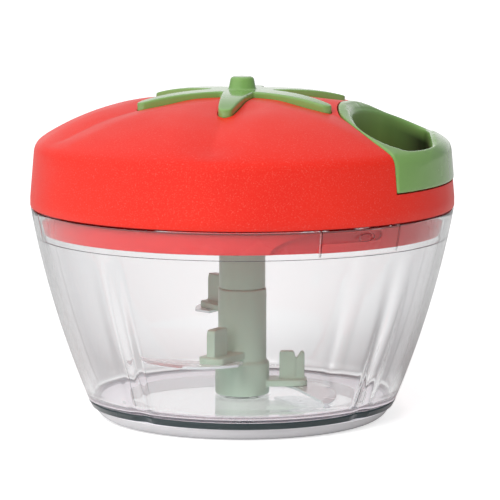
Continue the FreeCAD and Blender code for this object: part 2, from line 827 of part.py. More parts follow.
def make_reel():
    """A web with a boss, a core that holds the spring, and flanges that hold the cord."""
    web = disc(reel_flange_radius, web_bottom, reel_web)
    core = ring(reel_core_radius, reel_core_bore, web_top, reel_width)
    top = ring(reel_flange_radius, reel_core_bore, web_top + reel_width, reel_flange)
    boss = disc(reel_boss_radius, web_bottom, reel_web + reel_boss_height)
    holes = [disc(pawl_pin_radius, web_bottom - 1, reel_web + 2, at) for at in pawl_spots()]
    holes.append(disc(reel_bore, web_bottom - 1, reel_web + reel_boss_height + 2))
    return web.fuse([core, top, boss]).cut(holes).removeSplitter()


def make_pawl_pins():
    """Pins with a head that keeps each pawl up under the reel's web."""
    head_bottom = pawl_bottom - slip / 2 - pawl_pin_head_height
    pins = []
    for at in pawl_spots():
        shank = disc(pawl_pin_radius, head_bottom, web_top - head_bottom, at)
        head = disc(pawl_pin_radius + pawl_pin_head, head_bottom, pawl_pin_head_height, at)
        pins.append(shank.fuse(head).removeSplitter())
    return Part.makeCompound(pins)


def make_pawl(k):
    """An eye on its pin and a nose that rests in front of a ratchet tooth."""
    wide = pawl_eye_radius * 0.88
    tip, heel = ratchet_root + tooth_depth * 0.22, ratchet_root + tooth_depth * 0.4
    belly, back = ratchet_radius + pawl_pin_gap * 0.15, ratchet_radius + pawl_pin_gap / 2
    outline = [(pawl_pin_orbit - wide, -pawl_root_angle), (belly, -pawl_belly_angle),
               (heel, pawl_nose_angle - pawl_reach), (tip, -pawl_reach), (back, -pawl_reach),
               (pawl_pin_orbit + wide / 2, -pawl_back_angle), (pawl_pin_orbit + wide, -pawl_root_angle)]
    corners = [vec(*spot(radius, bearing), pawl_bottom) for radius, bearing in outline]
    arm = Part.Face(Part.makePolygon(corners + corners[:1])).extrude(vec(0, 0, pawl_thickness))
    eye_at = spot(pawl_pin_orbit, 0)
    eye = disc(pawl_eye_radius, pawl_bottom, pawl_thickness, eye_at)
    bore = disc(pawl_pin_radius + running, pawl_bottom - 1, pawl_thickness + 2, eye_at)
    return aimed(eye.fuse(arm).cut(bore).removeSplitter(), 90 + 360.0 / pawl_count * k)


def make_winding():
    bottom = web_top + fit
    height = reel_width - 2 * fit
    return ring(winding_radius, reel_core_radius, bottom, height)


def make_reel_cap():
    return ring(reel_core_radius + cap_lap, arbor_radius + cap_gap, reel_top, cap_thickness)


def make_spring():
    """A flat strip wound in half turns, from the arbor out to the reel's core."""
    radii = [arbor_radius + spring_pitch / 2 * k for k in range(2 * spring_turns + 1)]
    radii.append(reel_core_bore - spring_strip - running)
    inside, outside = [], []
    side = 1
    for start, end in zip(radii, radii[1:]):
        centre = (end - start) / 2 * side
        for edges, off in ((inside, 0.0), (outside, spring_strip)):
            reach = (start + end) / 2 + off
            edges.append(arc((centre - side * reach, 0), (centre, side * reach), (centre + side * reach, 0)))
        side = -side
    ends = [line(inside[k].Vertexes[k].Point, outside[k].Vertexes[k].Point) for k in (0, -1)]
    bottom = winding_middle - spring_width / 2
    return prism(Part.__sortEdges__(inside + outside + ends), bottom, spring_width)


def make_arbor():
    bottom = web_top + reel_boss_height + slip
    top = housing_top - housing_plate
    sleeve = ring(arbor_radius, axle_radius + slip, bottom, top - bottom)
    flange = ring(arbor_flange_radius, axle_radius + slip, top - arbor_flange, arbor_flange)
    return sleeve.fuse(flange).removeSplitter()


def make_housing():
    """A cup over the reel, with a window for the cord and three feet with screw holes."""
    height = housing_top - deck_top
    feet = [spot(housing_foot_orbit, b) for b in housing_foot_bearings]
    cup = disc(housing_radius, deck_top, height)
    body = cup.fuse([disc(housing_foot_radius, deck_top, housing_foot_height, at) for at in feet])
    body = body.cut(disc(housing_radius - housing_wall, deck_top - 1, height - housing_plate + 1))
    body = body.cut(disc(axle_radius + running, deck_top, height + 1))
    window = box(housing_radius - 2 * housing_wall, housing_radius + 1, -window_half_width, window_half_width,
                 winding_middle - window_half_height, winding_middle + window_half_height)
    holes = [disc(screw_radius, deck_top - 1, housing_foot_height, at) for at in feet]
    return body.cut([aimed(window, handle_bearing)] + holes).removeSplitter()


# Cord between reel and handle

def make_eyelet():
    start = vec(eyelet_start, 0, winding_middle)
    length = eyelet_end - eyelet_start
    tube = Part.makeCylinder(eyelet_radius, length, start, vec(1, 0, 0))
    bore = Part.makeCylinder(cord_hole, length + 2, start - vec(1, 0, 0), vec(1, 0, 0))
    return aimed(tube.cut(bore), handle_bearing)


def cord_path():
    """Along the tangent of the wound turns, round a bend, and straight to the handle."""
    coil = reel_core_radius + cord_radius
    bend_at = housing_radius - housing_wall
    angle = math.acos(coil / bend_at)
    tangent_point = vec(coil * math.cos(angle), coil * math.sin(angle), winding_middle)
    corner = vec(bend_at, 0, winding_middle)
    length = (corner - tangent_point).Length
    towards = (corner - tangent_point) * (1 / length)
    clear_at = math.sqrt((winding_radius + cord_radius + running) ** 2 - coil ** 2)
    leave = tangent_point + towards * clear_at
    setback = cord_bend * math.tan(math.acos(towards.x) / 2)
    first = corner - towards * setback
    last = corner + vec(setback, 0, 0)
    centre = last + vec(0, cord_bend, 0)
    reach = (corner - centre).Length
    middle = centre + (corner - centre) * (cord_bend / reach)
    end = vec(hole_start, 0, winding_middle)
    return Part.Wire([Part.LineSegment(leave, first).toShape(), Part.Arc(first, middle, last).toShape(),
                      Part.LineSegment(last, end).toShape()])


def make_cord():
    path = cord_path()
    start = path.Edges[0]
    circle = Part.Circle(start.Vertexes[0].Point, start.tangentAt(0), cord_radius)
    section = Part.Wire(circle.toShape())
    cord = path.makePipeShell([section], True, False)
    print("cord solid", round(cord.Volume, 2), "section times length",
          round(math.pi * cord_radius ** 2 * path.Length, 2))
    return aimed(cord, handle_bearing)


def make_cord_stop():
    hollow = stop_radius ** 2 / 2 / hole_radius
    start = vec(hole_start + hollow + seat, 0, winding_middle)
    stop = Part.makeCylinder(stop_radius, stop_length, start, vec(1, 0, 0))
    rims = [e for e in stop.Edges if e.BoundBox.XLength < seat]
    return aimed(stop.makeFillet(stop_rounding, rims), handle_bearing)


def save(name, shape):
    if not shape.isValid():
        print("not valid:", name)
    solids = shape.Solids
    print(name, len(solids), "solid(s)", round(sum(s.Volume for s in solids) / 1000, 3), "cm3")
    whole = solids[0] if len(solids) == 1 else Part.makeCompound(solids)
    whole.exportStep("parts/" + name + ".step")


os.makedirs("parts", exist_ok=True)
save("bowl", make_bowl())
save("base_band", make_base_band())
save("foot_ring", make_foot_ring())
save("spindle_pin", make_spindle())
save("blade_column", make_column())
save("column_sleeve", make_column_sleeve())
save("column_bush", make_column_bush())
for name, bearing, arm_top, pitch in zip(blade_names, arm_bearings, arm_heights, blade_pitches):
    save("blade_" + name, make_blade(bearing, arm_top - arm_thickness, pitch))
save("top_cover", make_top_cover())
save("calyx", make_calyx())
save("lower_cover", make_lower_cover())
save("seal_ring", make_seal())
save("cover_screws", make_cover_screws())
save("housing_screws", make_housing_screws())
save("shaft_bush", make_shaft_bush())
save("reel_housing", make_housing())
save("spring_arbor", make_arbor())
save("cord_eyelet", make_eyelet())
save("drive_shaft", make_drive_shaft())
save("ratchet_wheel", make_ratchet())
save("axle_clip", make_axle_clip())
save("cord_reel", make_reel())
save("reel_cap", make_reel_cap())
save("pawl_pins", make_pawl_pins())
save("pawl_one", make_pawl(0))
save("pawl_two", make_pawl(1))
save("return_spring", make_spring())
save("cord_winding", make_winding())
save("cord_lead", make_cord())
save("cord_stop", make_cord_stop())
save("pull_handle", make_handle())
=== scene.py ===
# %% [markdown]
# A pull-cord food chopper that looks like a tomato: a clear bowl with four soft lobes, a red lid
# with a green calyx, and a green handle that pulls a cord. The construction comes from the packed
# CAD model; this script gives every piece its final shape and finish. Each markdown cell says what
# a piece is on the real object, how it could be made in Blender, and why this way was chosen.

# %% Load the frame
import json
import math

import bpy
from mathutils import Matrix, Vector


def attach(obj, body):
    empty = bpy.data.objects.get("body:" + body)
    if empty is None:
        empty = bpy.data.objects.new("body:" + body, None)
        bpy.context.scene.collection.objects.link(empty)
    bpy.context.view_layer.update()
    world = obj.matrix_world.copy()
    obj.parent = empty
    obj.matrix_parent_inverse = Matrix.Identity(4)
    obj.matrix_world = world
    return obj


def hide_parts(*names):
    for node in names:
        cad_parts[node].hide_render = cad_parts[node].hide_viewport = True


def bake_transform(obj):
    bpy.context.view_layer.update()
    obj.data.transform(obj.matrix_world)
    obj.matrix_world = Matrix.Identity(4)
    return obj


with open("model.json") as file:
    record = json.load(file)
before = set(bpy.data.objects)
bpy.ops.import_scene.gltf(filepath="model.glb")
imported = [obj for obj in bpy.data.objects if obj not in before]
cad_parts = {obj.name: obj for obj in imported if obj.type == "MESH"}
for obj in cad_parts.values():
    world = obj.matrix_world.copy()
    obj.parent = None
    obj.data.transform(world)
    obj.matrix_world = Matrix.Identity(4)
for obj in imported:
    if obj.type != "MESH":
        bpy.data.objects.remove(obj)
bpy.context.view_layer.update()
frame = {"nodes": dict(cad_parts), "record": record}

# %% [markdown]
# All sizes below are written in millimetres, as on a drawing, and turned into metres by one factor.

# %% Units
MM = 0.001
scene = bpy.context.scene

def mm(*values):
    """A point or size given in millimetres."""
    return Vector(values) * MM

print("one millimetre is", MM, "m")

# %% [markdown]
# The photograph was taken from a little above the lid with a long lens, about 1.1 m away. The lens
# and its small shift come from fitting the rings of the lid and bowl to their ellipses.

# %% Camera
camera_data = bpy.data.cameras.new("photo_camera")
camera_data.lens = 250.29
camera_data.sensor_width = 36.0
camera_data.shift_x = 0.01548
camera_data.shift_y = 0.02132
camera_data.clip_start = 0.05
camera_data.clip_end = 30.0
camera = bpy.data.objects.new("photo_camera", camera_data)
scene.collection.objects.link(camera)
VIEWPOINT, AIM = mm(0, -1100, 206.73), mm(0, 0, 50)
camera.location = VIEWPOINT
look = AIM - VIEWPOINT
camera.rotation_euler = look.to_track_quat("-Z", "Y").to_euler()
scene.camera = camera
scene.view_settings.view_transform = "Standard"
print("camera is", round(look.length, 3), "m from the object")

# %% [markdown]
# Shaders are small networks of nodes. A few helpers keep them readable: one links or sets a socket,
# the others add a maths node, a noise, a change of range or a mix of colours and hand back its
# output. A value that is given as a number is set, and one that comes from a node is linked.

# %% Node helpers

def link(tree, a, b):
    tree.links.new(a, b)

def new_group(name, inputs, outputs):
    """A shader node group; inputs are (name, value), outputs are names."""
    group = bpy.data.node_groups.new(name, "ShaderNodeTree")
    for label, value in inputs:
        socket = group.interface.new_socket(label, in_out="INPUT", socket_type="NodeSocketFloat")
        socket.default_value = value
    for label in outputs:
        group.interface.new_socket(label, in_out="OUTPUT", socket_type="NodeSocketFloat")
    return group, group.nodes.new("NodeGroupInput"), group.nodes.new("NodeGroupOutput")

def plug(tree, socket, value):
    """Links a socket, or sets a plain value."""
    if isinstance(value, bpy.types.NodeSocket):
        tree.links.new(value, socket)
    else:
        socket.default_value = value

def maths(tree, operation, a, b=0.0, c=0.0):
    node = tree.nodes.new("ShaderNodeMath")
    node.operation = operation
    for socket, value in zip(node.inputs, (a, b, c)):
        plug(tree, socket, value)
    return node.outputs[0]

def object_point(tree):
    node = tree.nodes.new("ShaderNodeTexCoord")
    return node.outputs["Object"]

def noise(tree, place, scale, detail=2.0, rough=0.5, distortion=0.0):
    node = tree.nodes.new("ShaderNodeTexNoise")
    plug(tree, node.inputs["Vector"], place)
    plug(tree, node.inputs["Scale"], scale)
    node.inputs["Detail"].default_value = detail
    node.inputs["Roughness"].default_value = rough
    node.inputs["Distortion"].default_value = distortion
    return node.outputs["Fac"]

def remap(tree, value, low, high, new_low, new_high):
    node = tree.nodes.new("ShaderNodeMapRange")
    for label, number in (("Value", value), ("From Min", low), ("From Max", high),
                          ("To Min", new_low), ("To Max", new_high)):
        plug(tree, node.inputs[label], number)
    return node.outputs["Result"]

def plug_colour(tree, socket, colour):
    plug(tree, socket, colour if isinstance(colour, bpy.types.NodeSocket) else (*colour, 1))

def mixed(tree, amount, first, second):
    """A colour between two others."""
    node = tree.nodes.new("ShaderNodeMix")
    node.data_type = "RGBA"
    plug(tree, node.inputs[0], amount)
    plug_colour(tree, node.inputs[6], first)
    plug_colour(tree, node.inputs[7], second)
    return node.outputs[2]

# %% [markdown]
# The object was photographed on white, in a studio that is bright behind and above it and greyer to
# the sides. Clear plastic and gloss show exactly this: they need grey beside the white, or they
# vanish. The camera itself sees plain white, and the object is lit evenly by a softer white.

# %% World

def direction_share(tree, direction, axis, low, high):
    """1 where a direction points along an axis, 0 away from it. Low and high are cosines."""
    node = tree.nodes.new("ShaderNodeVectorMath")
    node.operation = "DOT_PRODUCT"
    tree.links.new(direction, node.inputs[0])
    node.inputs[1].default_value = Vector(axis).normalized()
    return remap(tree, node.outputs["Value"], low, high, 0.0, 1.0)

def background(tree, colour, strength):
    node = tree.nodes.new("ShaderNodeBackground")
    plug_colour(tree, node.inputs["Color"], colour)
    plug(tree, node.inputs["Strength"], strength)
    return node.outputs[0]

def mix_shaders(tree, amount, first, second):
    node = tree.nodes.new("ShaderNodeMixShader")
    plug(tree, node.inputs["Fac"], amount)
    link(tree, first, node.inputs[1])
    link(tree, second, node.inputs[2])
    return node.outputs[0]

WHITE, STUDIO_GREY = (1, 1, 1), (0.262, 0.258, 0.295)
AMBIENT_RIGHT, AMBIENT_LEFT = 0.05, 0.98
world = bpy.data.worlds.new("tent")
scene.world = world
world.use_nodes = True
tree = world.node_tree
tree.nodes.clear()
rays = tree.nodes.new("ShaderNodeLightPath").outputs
direction = tree.nodes.new("ShaderNodeTexCoord").outputs["Generated"]
behind = direction_share(tree, direction, (0, 1, 0), 0.80, 0.985)
above = direction_share(tree, direction, (-0.2, 0.1, 1), 0.45, 0.85)
from_left = direction_share(tree, direction, (-1, -0.6, 0.5), 0.55, 0.95)
bright = maths(tree, "MAXIMUM", maths(tree, "MAXIMUM", behind, above), from_left)
studio = background(tree, mixed(tree, bright, STUDIO_GREY, WHITE), 1.0)
window = direction_share(tree, direction, (-1, -0.3, 0.35), -1.0, 1.0)
soft = background(tree, WHITE, remap(tree, window, 0.0, 1.0, AMBIENT_RIGHT, AMBIENT_LEFT))
mirrored = maths(tree, "MAXIMUM", rays["Is Glossy Ray"], rays["Is Transmission Ray"])
lit = mix_shaders(tree, mirrored, soft, studio)
out = tree.nodes.new("ShaderNodeOutputWorld")
surround = mix_shaders(tree, rays["Is Camera Ray"], lit, background(tree, WHITE, 1.0))
link(tree, surround, out.inputs["Surface"])
print("world has", len(tree.nodes), "nodes")

# %% [markdown]
# The floor is white paper that keeps the shadow. Seen by the camera it is lifted to the white of the
# background by a glow. The same glow is given to rays that went through the bowl towards the back,
# to those that reach the paper under the bowl, and to mirrored ones from the front left.

# %% Floor
FLOOR_GLOW, BACK_GLOW, UNDER_BOWL_GLOW = 0.64, 0.68, 1.42
PAPER_GREY, BLACK = (0.8, 0.8, 0.8), (0, 0, 0)

def split_up(tree, place):
    """The X, Y and Z outputs of a place."""
    node = tree.nodes.new("ShaderNodeSeparateXYZ")
    link(tree, place, node.inputs[0])
    return node.outputs

bpy.ops.object.select_all(action="DESELECT")
bpy.ops.mesh.primitive_plane_add(size=12, location=(0, 0, 0))
floor = bpy.context.object
floor.name = "floor"
paper = bpy.data.materials.new("floor_paper")
paper.use_nodes = True
tree = paper.node_tree
tree.nodes.clear()
rays = tree.nodes.new("ShaderNodeLightPath").outputs
spot = split_up(tree, object_point(tree))
sideways = maths(tree, "DIVIDE", maths(tree, "ABSOLUTE", spot["X"]),
                 maths(tree, "MAXIMUM", spot["Y"], 0.001))
towards_back = remap(tree, sideways, 0.05, 0.65, BACK_GLOW, 0.0)
from_middle = tree.nodes.new("ShaderNodeVectorMath")
from_middle.operation = "LENGTH"
link(tree, object_point(tree), from_middle.inputs[0])
under_bowl = remap(tree, from_middle.outputs["Value"], 60 * MM, 85 * MM, 1.0, 0.0)
bright_part = maths(tree, "MAXIMUM", towards_back, maths(tree, "MULTIPLY", under_bowl, UNDER_BOWL_GLOW))
through = maths(tree, "MULTIPLY", rays["Is Transmission Ray"], bright_part)
only_mirrored = maths(tree, "SUBTRACT", rays["Is Glossy Ray"], rays["Is Transmission Ray"])
front_left = maths(tree, "MULTIPLY", remap(tree, spot["X"], -0.25, 0.0, 1.0, 0.1),
                   remap(tree, spot["Y"], -0.05, 0.15, 1.0, 0.1))
mirrored = maths(tree, "MULTIPLY", only_mirrored, front_left)
seen = maths(tree, "MAXIMUM", rays["Is Camera Ray"], maths(tree, "MAXIMUM", through, mirrored))
glow = tree.nodes.new("ShaderNodeEmission")
link(tree, maths(tree, "MULTIPLY", seen, FLOOR_GLOW), glow.inputs["Strength"])
sheet = tree.nodes.new("ShaderNodeBsdfDiffuse")
even = maths(tree, "MULTIPLY", rays["Is Transmission Ray"], under_bowl)
link(tree, mixed(tree, even, PAPER_GREY, BLACK), sheet.inputs["Color"])
both = tree.nodes.new("ShaderNodeAddShader")
link(tree, sheet.outputs[0], both.inputs[0])
link(tree, glow.outputs[0], both.inputs[1])
out = tree.nodes.new("ShaderNodeOutputMaterial")
link(tree, both.outputs[0], out.inputs["Surface"])
floor.data.materials.append(paper)
print("floor is", floor.dimensions.x, "m wide")

# %% [markdown]
# A large soft lamp stands front left and above, and a weaker one on the right. Both point at the
# middle of the object, and glossy surfaces don't mirror them.

# %% Lamps
LAMP_AIM = mm(0, 0, 60)

def soft_lamp(name, place, size, power):
    """A round lamp: its size in metres, its power in watts."""
    data = bpy.data.lights.new(name, "AREA")
    data.shape = "DISK"
    data.size = size
    data.energy = power
    lamp = bpy.data.objects.new(name, data)
    scene.collection.objects.link(lamp)
    lamp.location = place
    lamp.visible_glossy = False
    lamp.rotation_euler = (LAMP_AIM - lamp.location).to_track_quat("-Z", "Y").to_euler()
    print(name, "gives", power, "W")

soft_lamp("key_lamp", Vector((-0.5, -1.1, 0.9)), 0.7, 9.0)
soft_lamp("fill_lamp", Vector((0.9, -0.7, 0.5)), 0.8, 0.5)

# %% [markdown]
# Moulded plastic is never perfectly even: it has a fine grain from the tool, a few cloudy patches
# and traces of handling. Each of these effects is a small node group, so that all finishes can
# share it, with its scale and strength set where it is used.

# %% [markdown]
# The grain is spark-eroded into the mould: tight bumps of about half a millimetre. A second, coarser
# noise makes single bumps stand out. The tops of the fine bumps are marked too, where a finish can
# paint pale glints: painted highlights that stand for the sparkle.

# %% Moulded grain and painted glints
grain, given, result = new_group("moulded_grain_and_painted_glint", [("Scale", 2500.0), ("Glint", 0.56)],
                                 ["Height", "Glint_spots"])
place = object_point(grain)
fine = noise(grain, place, given.outputs["Scale"], 3.0, 0.6)
coarse = noise(grain, place, maths(grain, "MULTIPLY", given.outputs["Scale"], 0.37), 2.0)
height = maths(grain, "ADD", maths(grain, "MULTIPLY", fine, 0.7), maths(grain, "MULTIPLY", coarse, 0.3))
link(grain, height, result.inputs["Height"])
glint_top = maths(grain, "ADD", given.outputs["Glint"], 0.12)
link(grain, remap(grain, fine, given.outputs["Glint"], glint_top, 0.0, 1.0), result.inputs["Glint_spots"])
print("grain made of", len(grain.nodes), "nodes")

# %% [markdown]
# Handling leaves large soft patches where the gloss is a little lower, and the plastic itself is
# cloudy where it cooled slower.

# %% Handling patches
handling, given, result = new_group("handling_patches", [("Scale", 60.0)], ["Patch", "Cloud"])
place = object_point(handling)
patch = noise(handling, place, given.outputs["Scale"], 4.0, 0.55, 0.6)
cloud = noise(handling, place, maths(handling, "MULTIPLY", given.outputs["Scale"], 0.35), 2.0)
link(handling, remap(handling, patch, 0.35, 0.7, 0.0, 1.0), result.inputs["Patch"])
link(handling, remap(handling, cloud, 0.3, 0.7, 0.0, 1.0), result.inputs["Cloud"])
print("patches made of", len(handling.nodes), "nodes")

# %% [markdown]
# Ground steel shows fine parallel lines. The object coordinates are squeezed along the lines, so the
# noise is drawn out into streaks.

# %% Ground lines
ground, given, result = new_group("ground_lines", [("Scale", 900.0), ("Stretch", 0.04)],
                                  ["Height", "Streak"])
spot = split_up(ground, object_point(ground))
join = ground.nodes.new("ShaderNodeCombineXYZ")
link(ground, maths(ground, "MULTIPLY", spot["X"], given.outputs["Stretch"]), join.inputs["X"])
link(ground, spot["Y"], join.inputs["Y"])
link(ground, spot["Z"], join.inputs["Z"])
lines = noise(ground, join.outputs[0], given.outputs["Scale"], 3.0, 0.7)
link(ground, lines, result.inputs["Height"])
link(ground, remap(ground, lines, 0.35, 0.65, 0.0, 1.0), result.inputs["Streak"])
print("ground lines made of", len(ground.nodes), "nodes")

# %% [markdown]
# The braid follows the cord's own coordinates: two families of strands wind round it in opposite
# senses, and at each place the higher one lies on top.

# %% Braid
braid, given, result = new_group("braid", [("Strands", 4.0), ("Pitch", 3.0)], ["Height", "Shade"])
run = braid.nodes.new("ShaderNodeUVMap")
run.uv_map = "cord_run"
spot = split_up(braid, run.outputs["UV"])
advance = maths(braid, "DIVIDE", spot["X"], given.outputs["Pitch"])
families = []
for sense in (1.0, -1.0):
    wind = maths(braid, "MULTIPLY", spot["Y"], sense)
    phase = maths(braid, "MULTIPLY", maths(braid, "ADD", advance, wind), given.outputs["Strands"])
    families.append(maths(braid, "PINGPONG", phase, 0.5))
top = maths(braid, "MAXIMUM", families[0], families[1])
link(braid, top, result.inputs["Height"])
link(braid, remap(braid, top, 0.2, 0.5, 0.0, 1.0), result.inputs["Shade"])
print("braid has", len(families), "families of strands")

# %% [markdown]
# Every finish starts from one Principled shader. Its colour wanders between two close shades, its
# roughness grows by a little wear where the object was handled, and the grain goes into a bump.

# %% Finish maker
PLASTIC_WEAR, METAL_WEAR = 0.08, 0.1
GROUND_DEPTH = 0.004

def effect(tree, group, **settings):
    """Adds one of the groups above and hands back its outputs."""
    node = tree.nodes.new("ShaderNodeGroup")
    node.node_tree = group
    for label, value in settings.items():
        node.inputs[label].default_value = value
    return node.outputs

def bump(tree, height, distance):
    node = tree.nodes.new("ShaderNodeBump")
    node.inputs["Distance"].default_value = distance * MM
    node.inputs["Strength"].default_value = 1.0
    link(tree, height, node.inputs["Height"])
    return node.outputs["Normal"]

def start(name):
    material = bpy.data.materials.new(name)
    material.use_nodes = True
    tree = material.node_tree
    return material, tree, tree.nodes["Principled BSDF"]

def set_plain(shader, **values):
    """Sets sockets to plain values. An underscore stands for a space in a socket's name."""
    for label, value in values.items():
        shader.inputs[label.replace("_", " ")].default_value = value

def plastic(name, shade, deeper, gloss, grain_scale, grain_depth, specular=0.5, painted_glint=0.0,
            painted_glint_colour=WHITE):
    """Moulded plastic: two shades, gloss as a roughness, and the depth of its grain in millimetres."""
    material, tree, shader = start(name)
    hand = effect(tree, handling)
    surface = effect(tree, grain, Scale=grain_scale)
    colour = mixed(tree, hand["Cloud"], shade, deeper)
    # Painted glints: where the grain's tops are marked, the colour is mixed towards a pale glint colour,
    # painted highlights for the sparkle of light on the grain.
    if painted_glint:
        colour = mixed(tree, maths(tree, "MULTIPLY", surface["Glint_spots"], painted_glint), colour, painted_glint_colour)
    link(tree, colour, shader.inputs["Base Color"])
    link(tree, remap(tree, hand["Patch"], 0.0, 1.0, gloss, gloss + PLASTIC_WEAR), shader.inputs["Roughness"])
    link(tree, bump(tree, surface["Height"], grain_depth), shader.inputs["Normal"])
    set_plain(shader, Specular_IOR_Level=specular)
    return material

def metal(name, shade, deeper, gloss, metallic=1.0):
    """Ground metal: two shades that alternate in fine lines, and gloss as a roughness."""
    material, tree, shader = start(name)
    streaks = effect(tree, ground)
    hand = effect(tree, handling, Scale=90.0)
    link(tree, mixed(tree, streaks["Streak"], shade, deeper), shader.inputs["Base Color"])
    link(tree, remap(tree, hand["Patch"], 0.0, 1.0, gloss, gloss + METAL_WEAR), shader.inputs["Roughness"])
    link(tree, bump(tree, streaks["Height"], GROUND_DEPTH), shader.inputs["Normal"])
    set_plain(shader, Metallic=metallic)
    return material

# %% [markdown]
# The finishes, with the colours read from the photograph. The lid has a visible grain, with pale
# painted glints for its sparkle; the green parts are polished; the steel is ground.

# %% Opaque finishes
made = {
    # The lid's red gets painted glints: pale flecks that stand for the sparkle of its grain.
    "red_cover": plastic("red_satin", (0.95, 0.030, 0.012), (0.88, 0.022, 0.010), 0.36, 2600.0, 0.06, 0.32,
                         painted_glint=0.17, painted_glint_colour=(1.0, 0.42, 0.34)),
    "red_seal": plastic("red_silicone", (0.62, 0.030, 0.030), (0.55, 0.025, 0.026), 0.45, 2500.0, 0.01),
    "sage": plastic("sage_green", (0.51, 0.665, 0.52), (0.47, 0.62, 0.48), 0.28, 2200.0, 0.010),
    "white_plastic": plastic("white_acetal", (0.72, 0.72, 0.69), (0.66, 0.66, 0.63), 0.34, 2200.0, 0.012),
    "grey_plastic": plastic("grey_nylon", (0.10, 0.11, 0.115), (0.08, 0.09, 0.095), 0.42, 1800.0, 0.02),
    "steel": metal("blade_steel", (0.93, 1.0, 1.0), (0.86, 0.94, 0.95), 0.2, metallic=0.45),
    "screw_steel": metal("plated_steel", (0.62, 0.62, 0.63), (0.52, 0.52, 0.54), 0.24),
    "spring_steel": metal("blued_steel", (0.26, 0.28, 0.33), (0.20, 0.21, 0.25), 0.22),
    "brass_bush": metal("brass", (0.68, 0.48, 0.20), (0.58, 0.40, 0.16), 0.2),
}
print(len(made), "opaque finishes")

# %% [markdown]
# The lower cover is a glossy red. Its skirt is a cone, given here by the height and radius of its
# lower and upper edge. What lies deeper than the cone is the floor of a slot, which gets painted
# shade: a darker red that stands for the shade in the slot.

# %% Glossy red with painted shade in the slots
CONE_LOW, CONE_HIGH = (60.7, 63.1), (67.0, 64.4)
SLOT_SHADE = (0.80, 0.028, 0.032)

def from_axis(tree, spot):
    """The distance of a split place from the upright axis."""
    squares = [maths(tree, "MULTIPLY", spot[axis], spot[axis]) for axis in "XY"]
    return maths(tree, "SQRT", maths(tree, "ADD", *squares))

material, tree, shader = start("red_gloss")
spot = split_up(tree, object_point(tree))
cone = remap(tree, spot["Z"], CONE_LOW[0] * MM, CONE_HIGH[0] * MM, CONE_LOW[1] * MM, CONE_HIGH[1] * MM)
# Painted shade: faces deeper than the cone, the slot floors, are coloured a darker red.
recess = remap(tree, maths(tree, "SUBTRACT", cone, from_axis(tree, spot)), 0.3 * MM, 0.9 * MM, 0.0, 1.0)
hand = effect(tree, handling)
surface = effect(tree, grain)
shade = mixed(tree, hand["Cloud"], (0.97, 0.042, 0.040), (0.90, 0.034, 0.034))
link(tree, mixed(tree, recess, shade, SLOT_SHADE), shader.inputs["Base Color"])
link(tree, remap(tree, hand["Patch"], 0.0, 1.0, 0.22, 0.30), shader.inputs["Roughness"])
link(tree, bump(tree, surface["Height"], 0.006), shader.inputs["Normal"])
made["red_inner"] = material
print("skirt's cone runs from", CONE_LOW, "to", CONE_HIGH)

# %% [markdown]
# The calyx and the handle are polished green plastic. Deep in the finger hole the green turns dull
# and gets painted shade: the deeper a place lies under the dome of the lid, and the nearer it is to
# the grip, the more its colour goes to a dark painted shade. The dome's measures are set here,
# because its height over each place is needed.

# %% Polished green
SHOULDER_RADIUS, SHOULDER_HEIGHT = 66.0, 88.3
DOME_RISE, DOME_POWER = 14.9, 3.0
HOLE_PAINTED_SHADE = (0.020, 0.035, 0.012)
material, tree, shader = start("leaf_green")
spot = split_up(tree, object_point(tree))
radius = from_axis(tree, spot)
share = maths(tree, "POWER", maths(tree, "DIVIDE", radius, SHOULDER_RADIUS * MM), DOME_POWER)
dome_top = (SHOULDER_HEIGHT + DOME_RISE) * MM
dome = maths(tree, "SUBTRACT", dome_top, maths(tree, "MULTIPLY", share, DOME_RISE * MM))
depth = maths(tree, "SUBTRACT", dome, spot["Z"])
within_grip = remap(tree, radius, 63.4 * MM, 64.2 * MM, 1.0, 0.0)
sunk = maths(tree, "MULTIPLY", remap(tree, depth, 0.8 * MM, 3 * MM, 0.0, 1.0), within_grip)
in_hole = maths(tree, "MULTIPLY", remap(tree, depth, 0.5 * MM, 5.5 * MM, 0.0, 1.0), within_grip)
# Painted shade: the colour darkens with depth in the hole, and more towards the grip, where the shade falls.
painted_hole_shade = maths(tree, "MULTIPLY", in_hole, remap(tree, spot["X"], 44 * MM, 57 * MM, 0.15, 1.0))
hand = effect(tree, handling)
surface = effect(tree, grain, Scale=2600.0)
shade = mixed(tree, hand["Cloud"], (0.235, 0.440, 0.120), (0.205, 0.400, 0.102))
link(tree, mixed(tree, painted_hole_shade, shade, HOLE_PAINTED_SHADE), shader.inputs["Base Color"])
duller = maths(tree, "MULTIPLY", sunk, 0.3)
gloss = remap(tree, hand["Patch"], 0.0, 1.0, 0.20, 0.28)
link(tree, maths(tree, "ADD", gloss, duller), shader.inputs["Roughness"])
link(tree, bump(tree, surface["Height"], 0.006), shader.inputs["Normal"])
link(tree, remap(tree, sunk, 0.0, 1.0, 0.65, 0.0), shader.inputs["Coat Weight"])
set_plain(shader, Specular_IOR_Level=0.35, Coat_Roughness=0.08)
made["leaf_green"] = material
print("green turns dark towards", HOLE_PAINTED_SHADE)

# %% [markdown]
# The soft band is dark where it faces outwards. Its other sides are bonded to the clear bowl; they
# are painted pale, painted light that stands for how bright they look through the bowl.

# %% Dark band
material, tree, shader = start("dark_teal")
place = tree.nodes.new("ShaderNodeTexCoord")
facing = tree.nodes.new("ShaderNodeVectorMath")
facing.operation = "DOT_PRODUCT"
link(tree, place.outputs["Normal"], facing.inputs[0])
link(tree, place.outputs["Object"], facing.inputs[1])
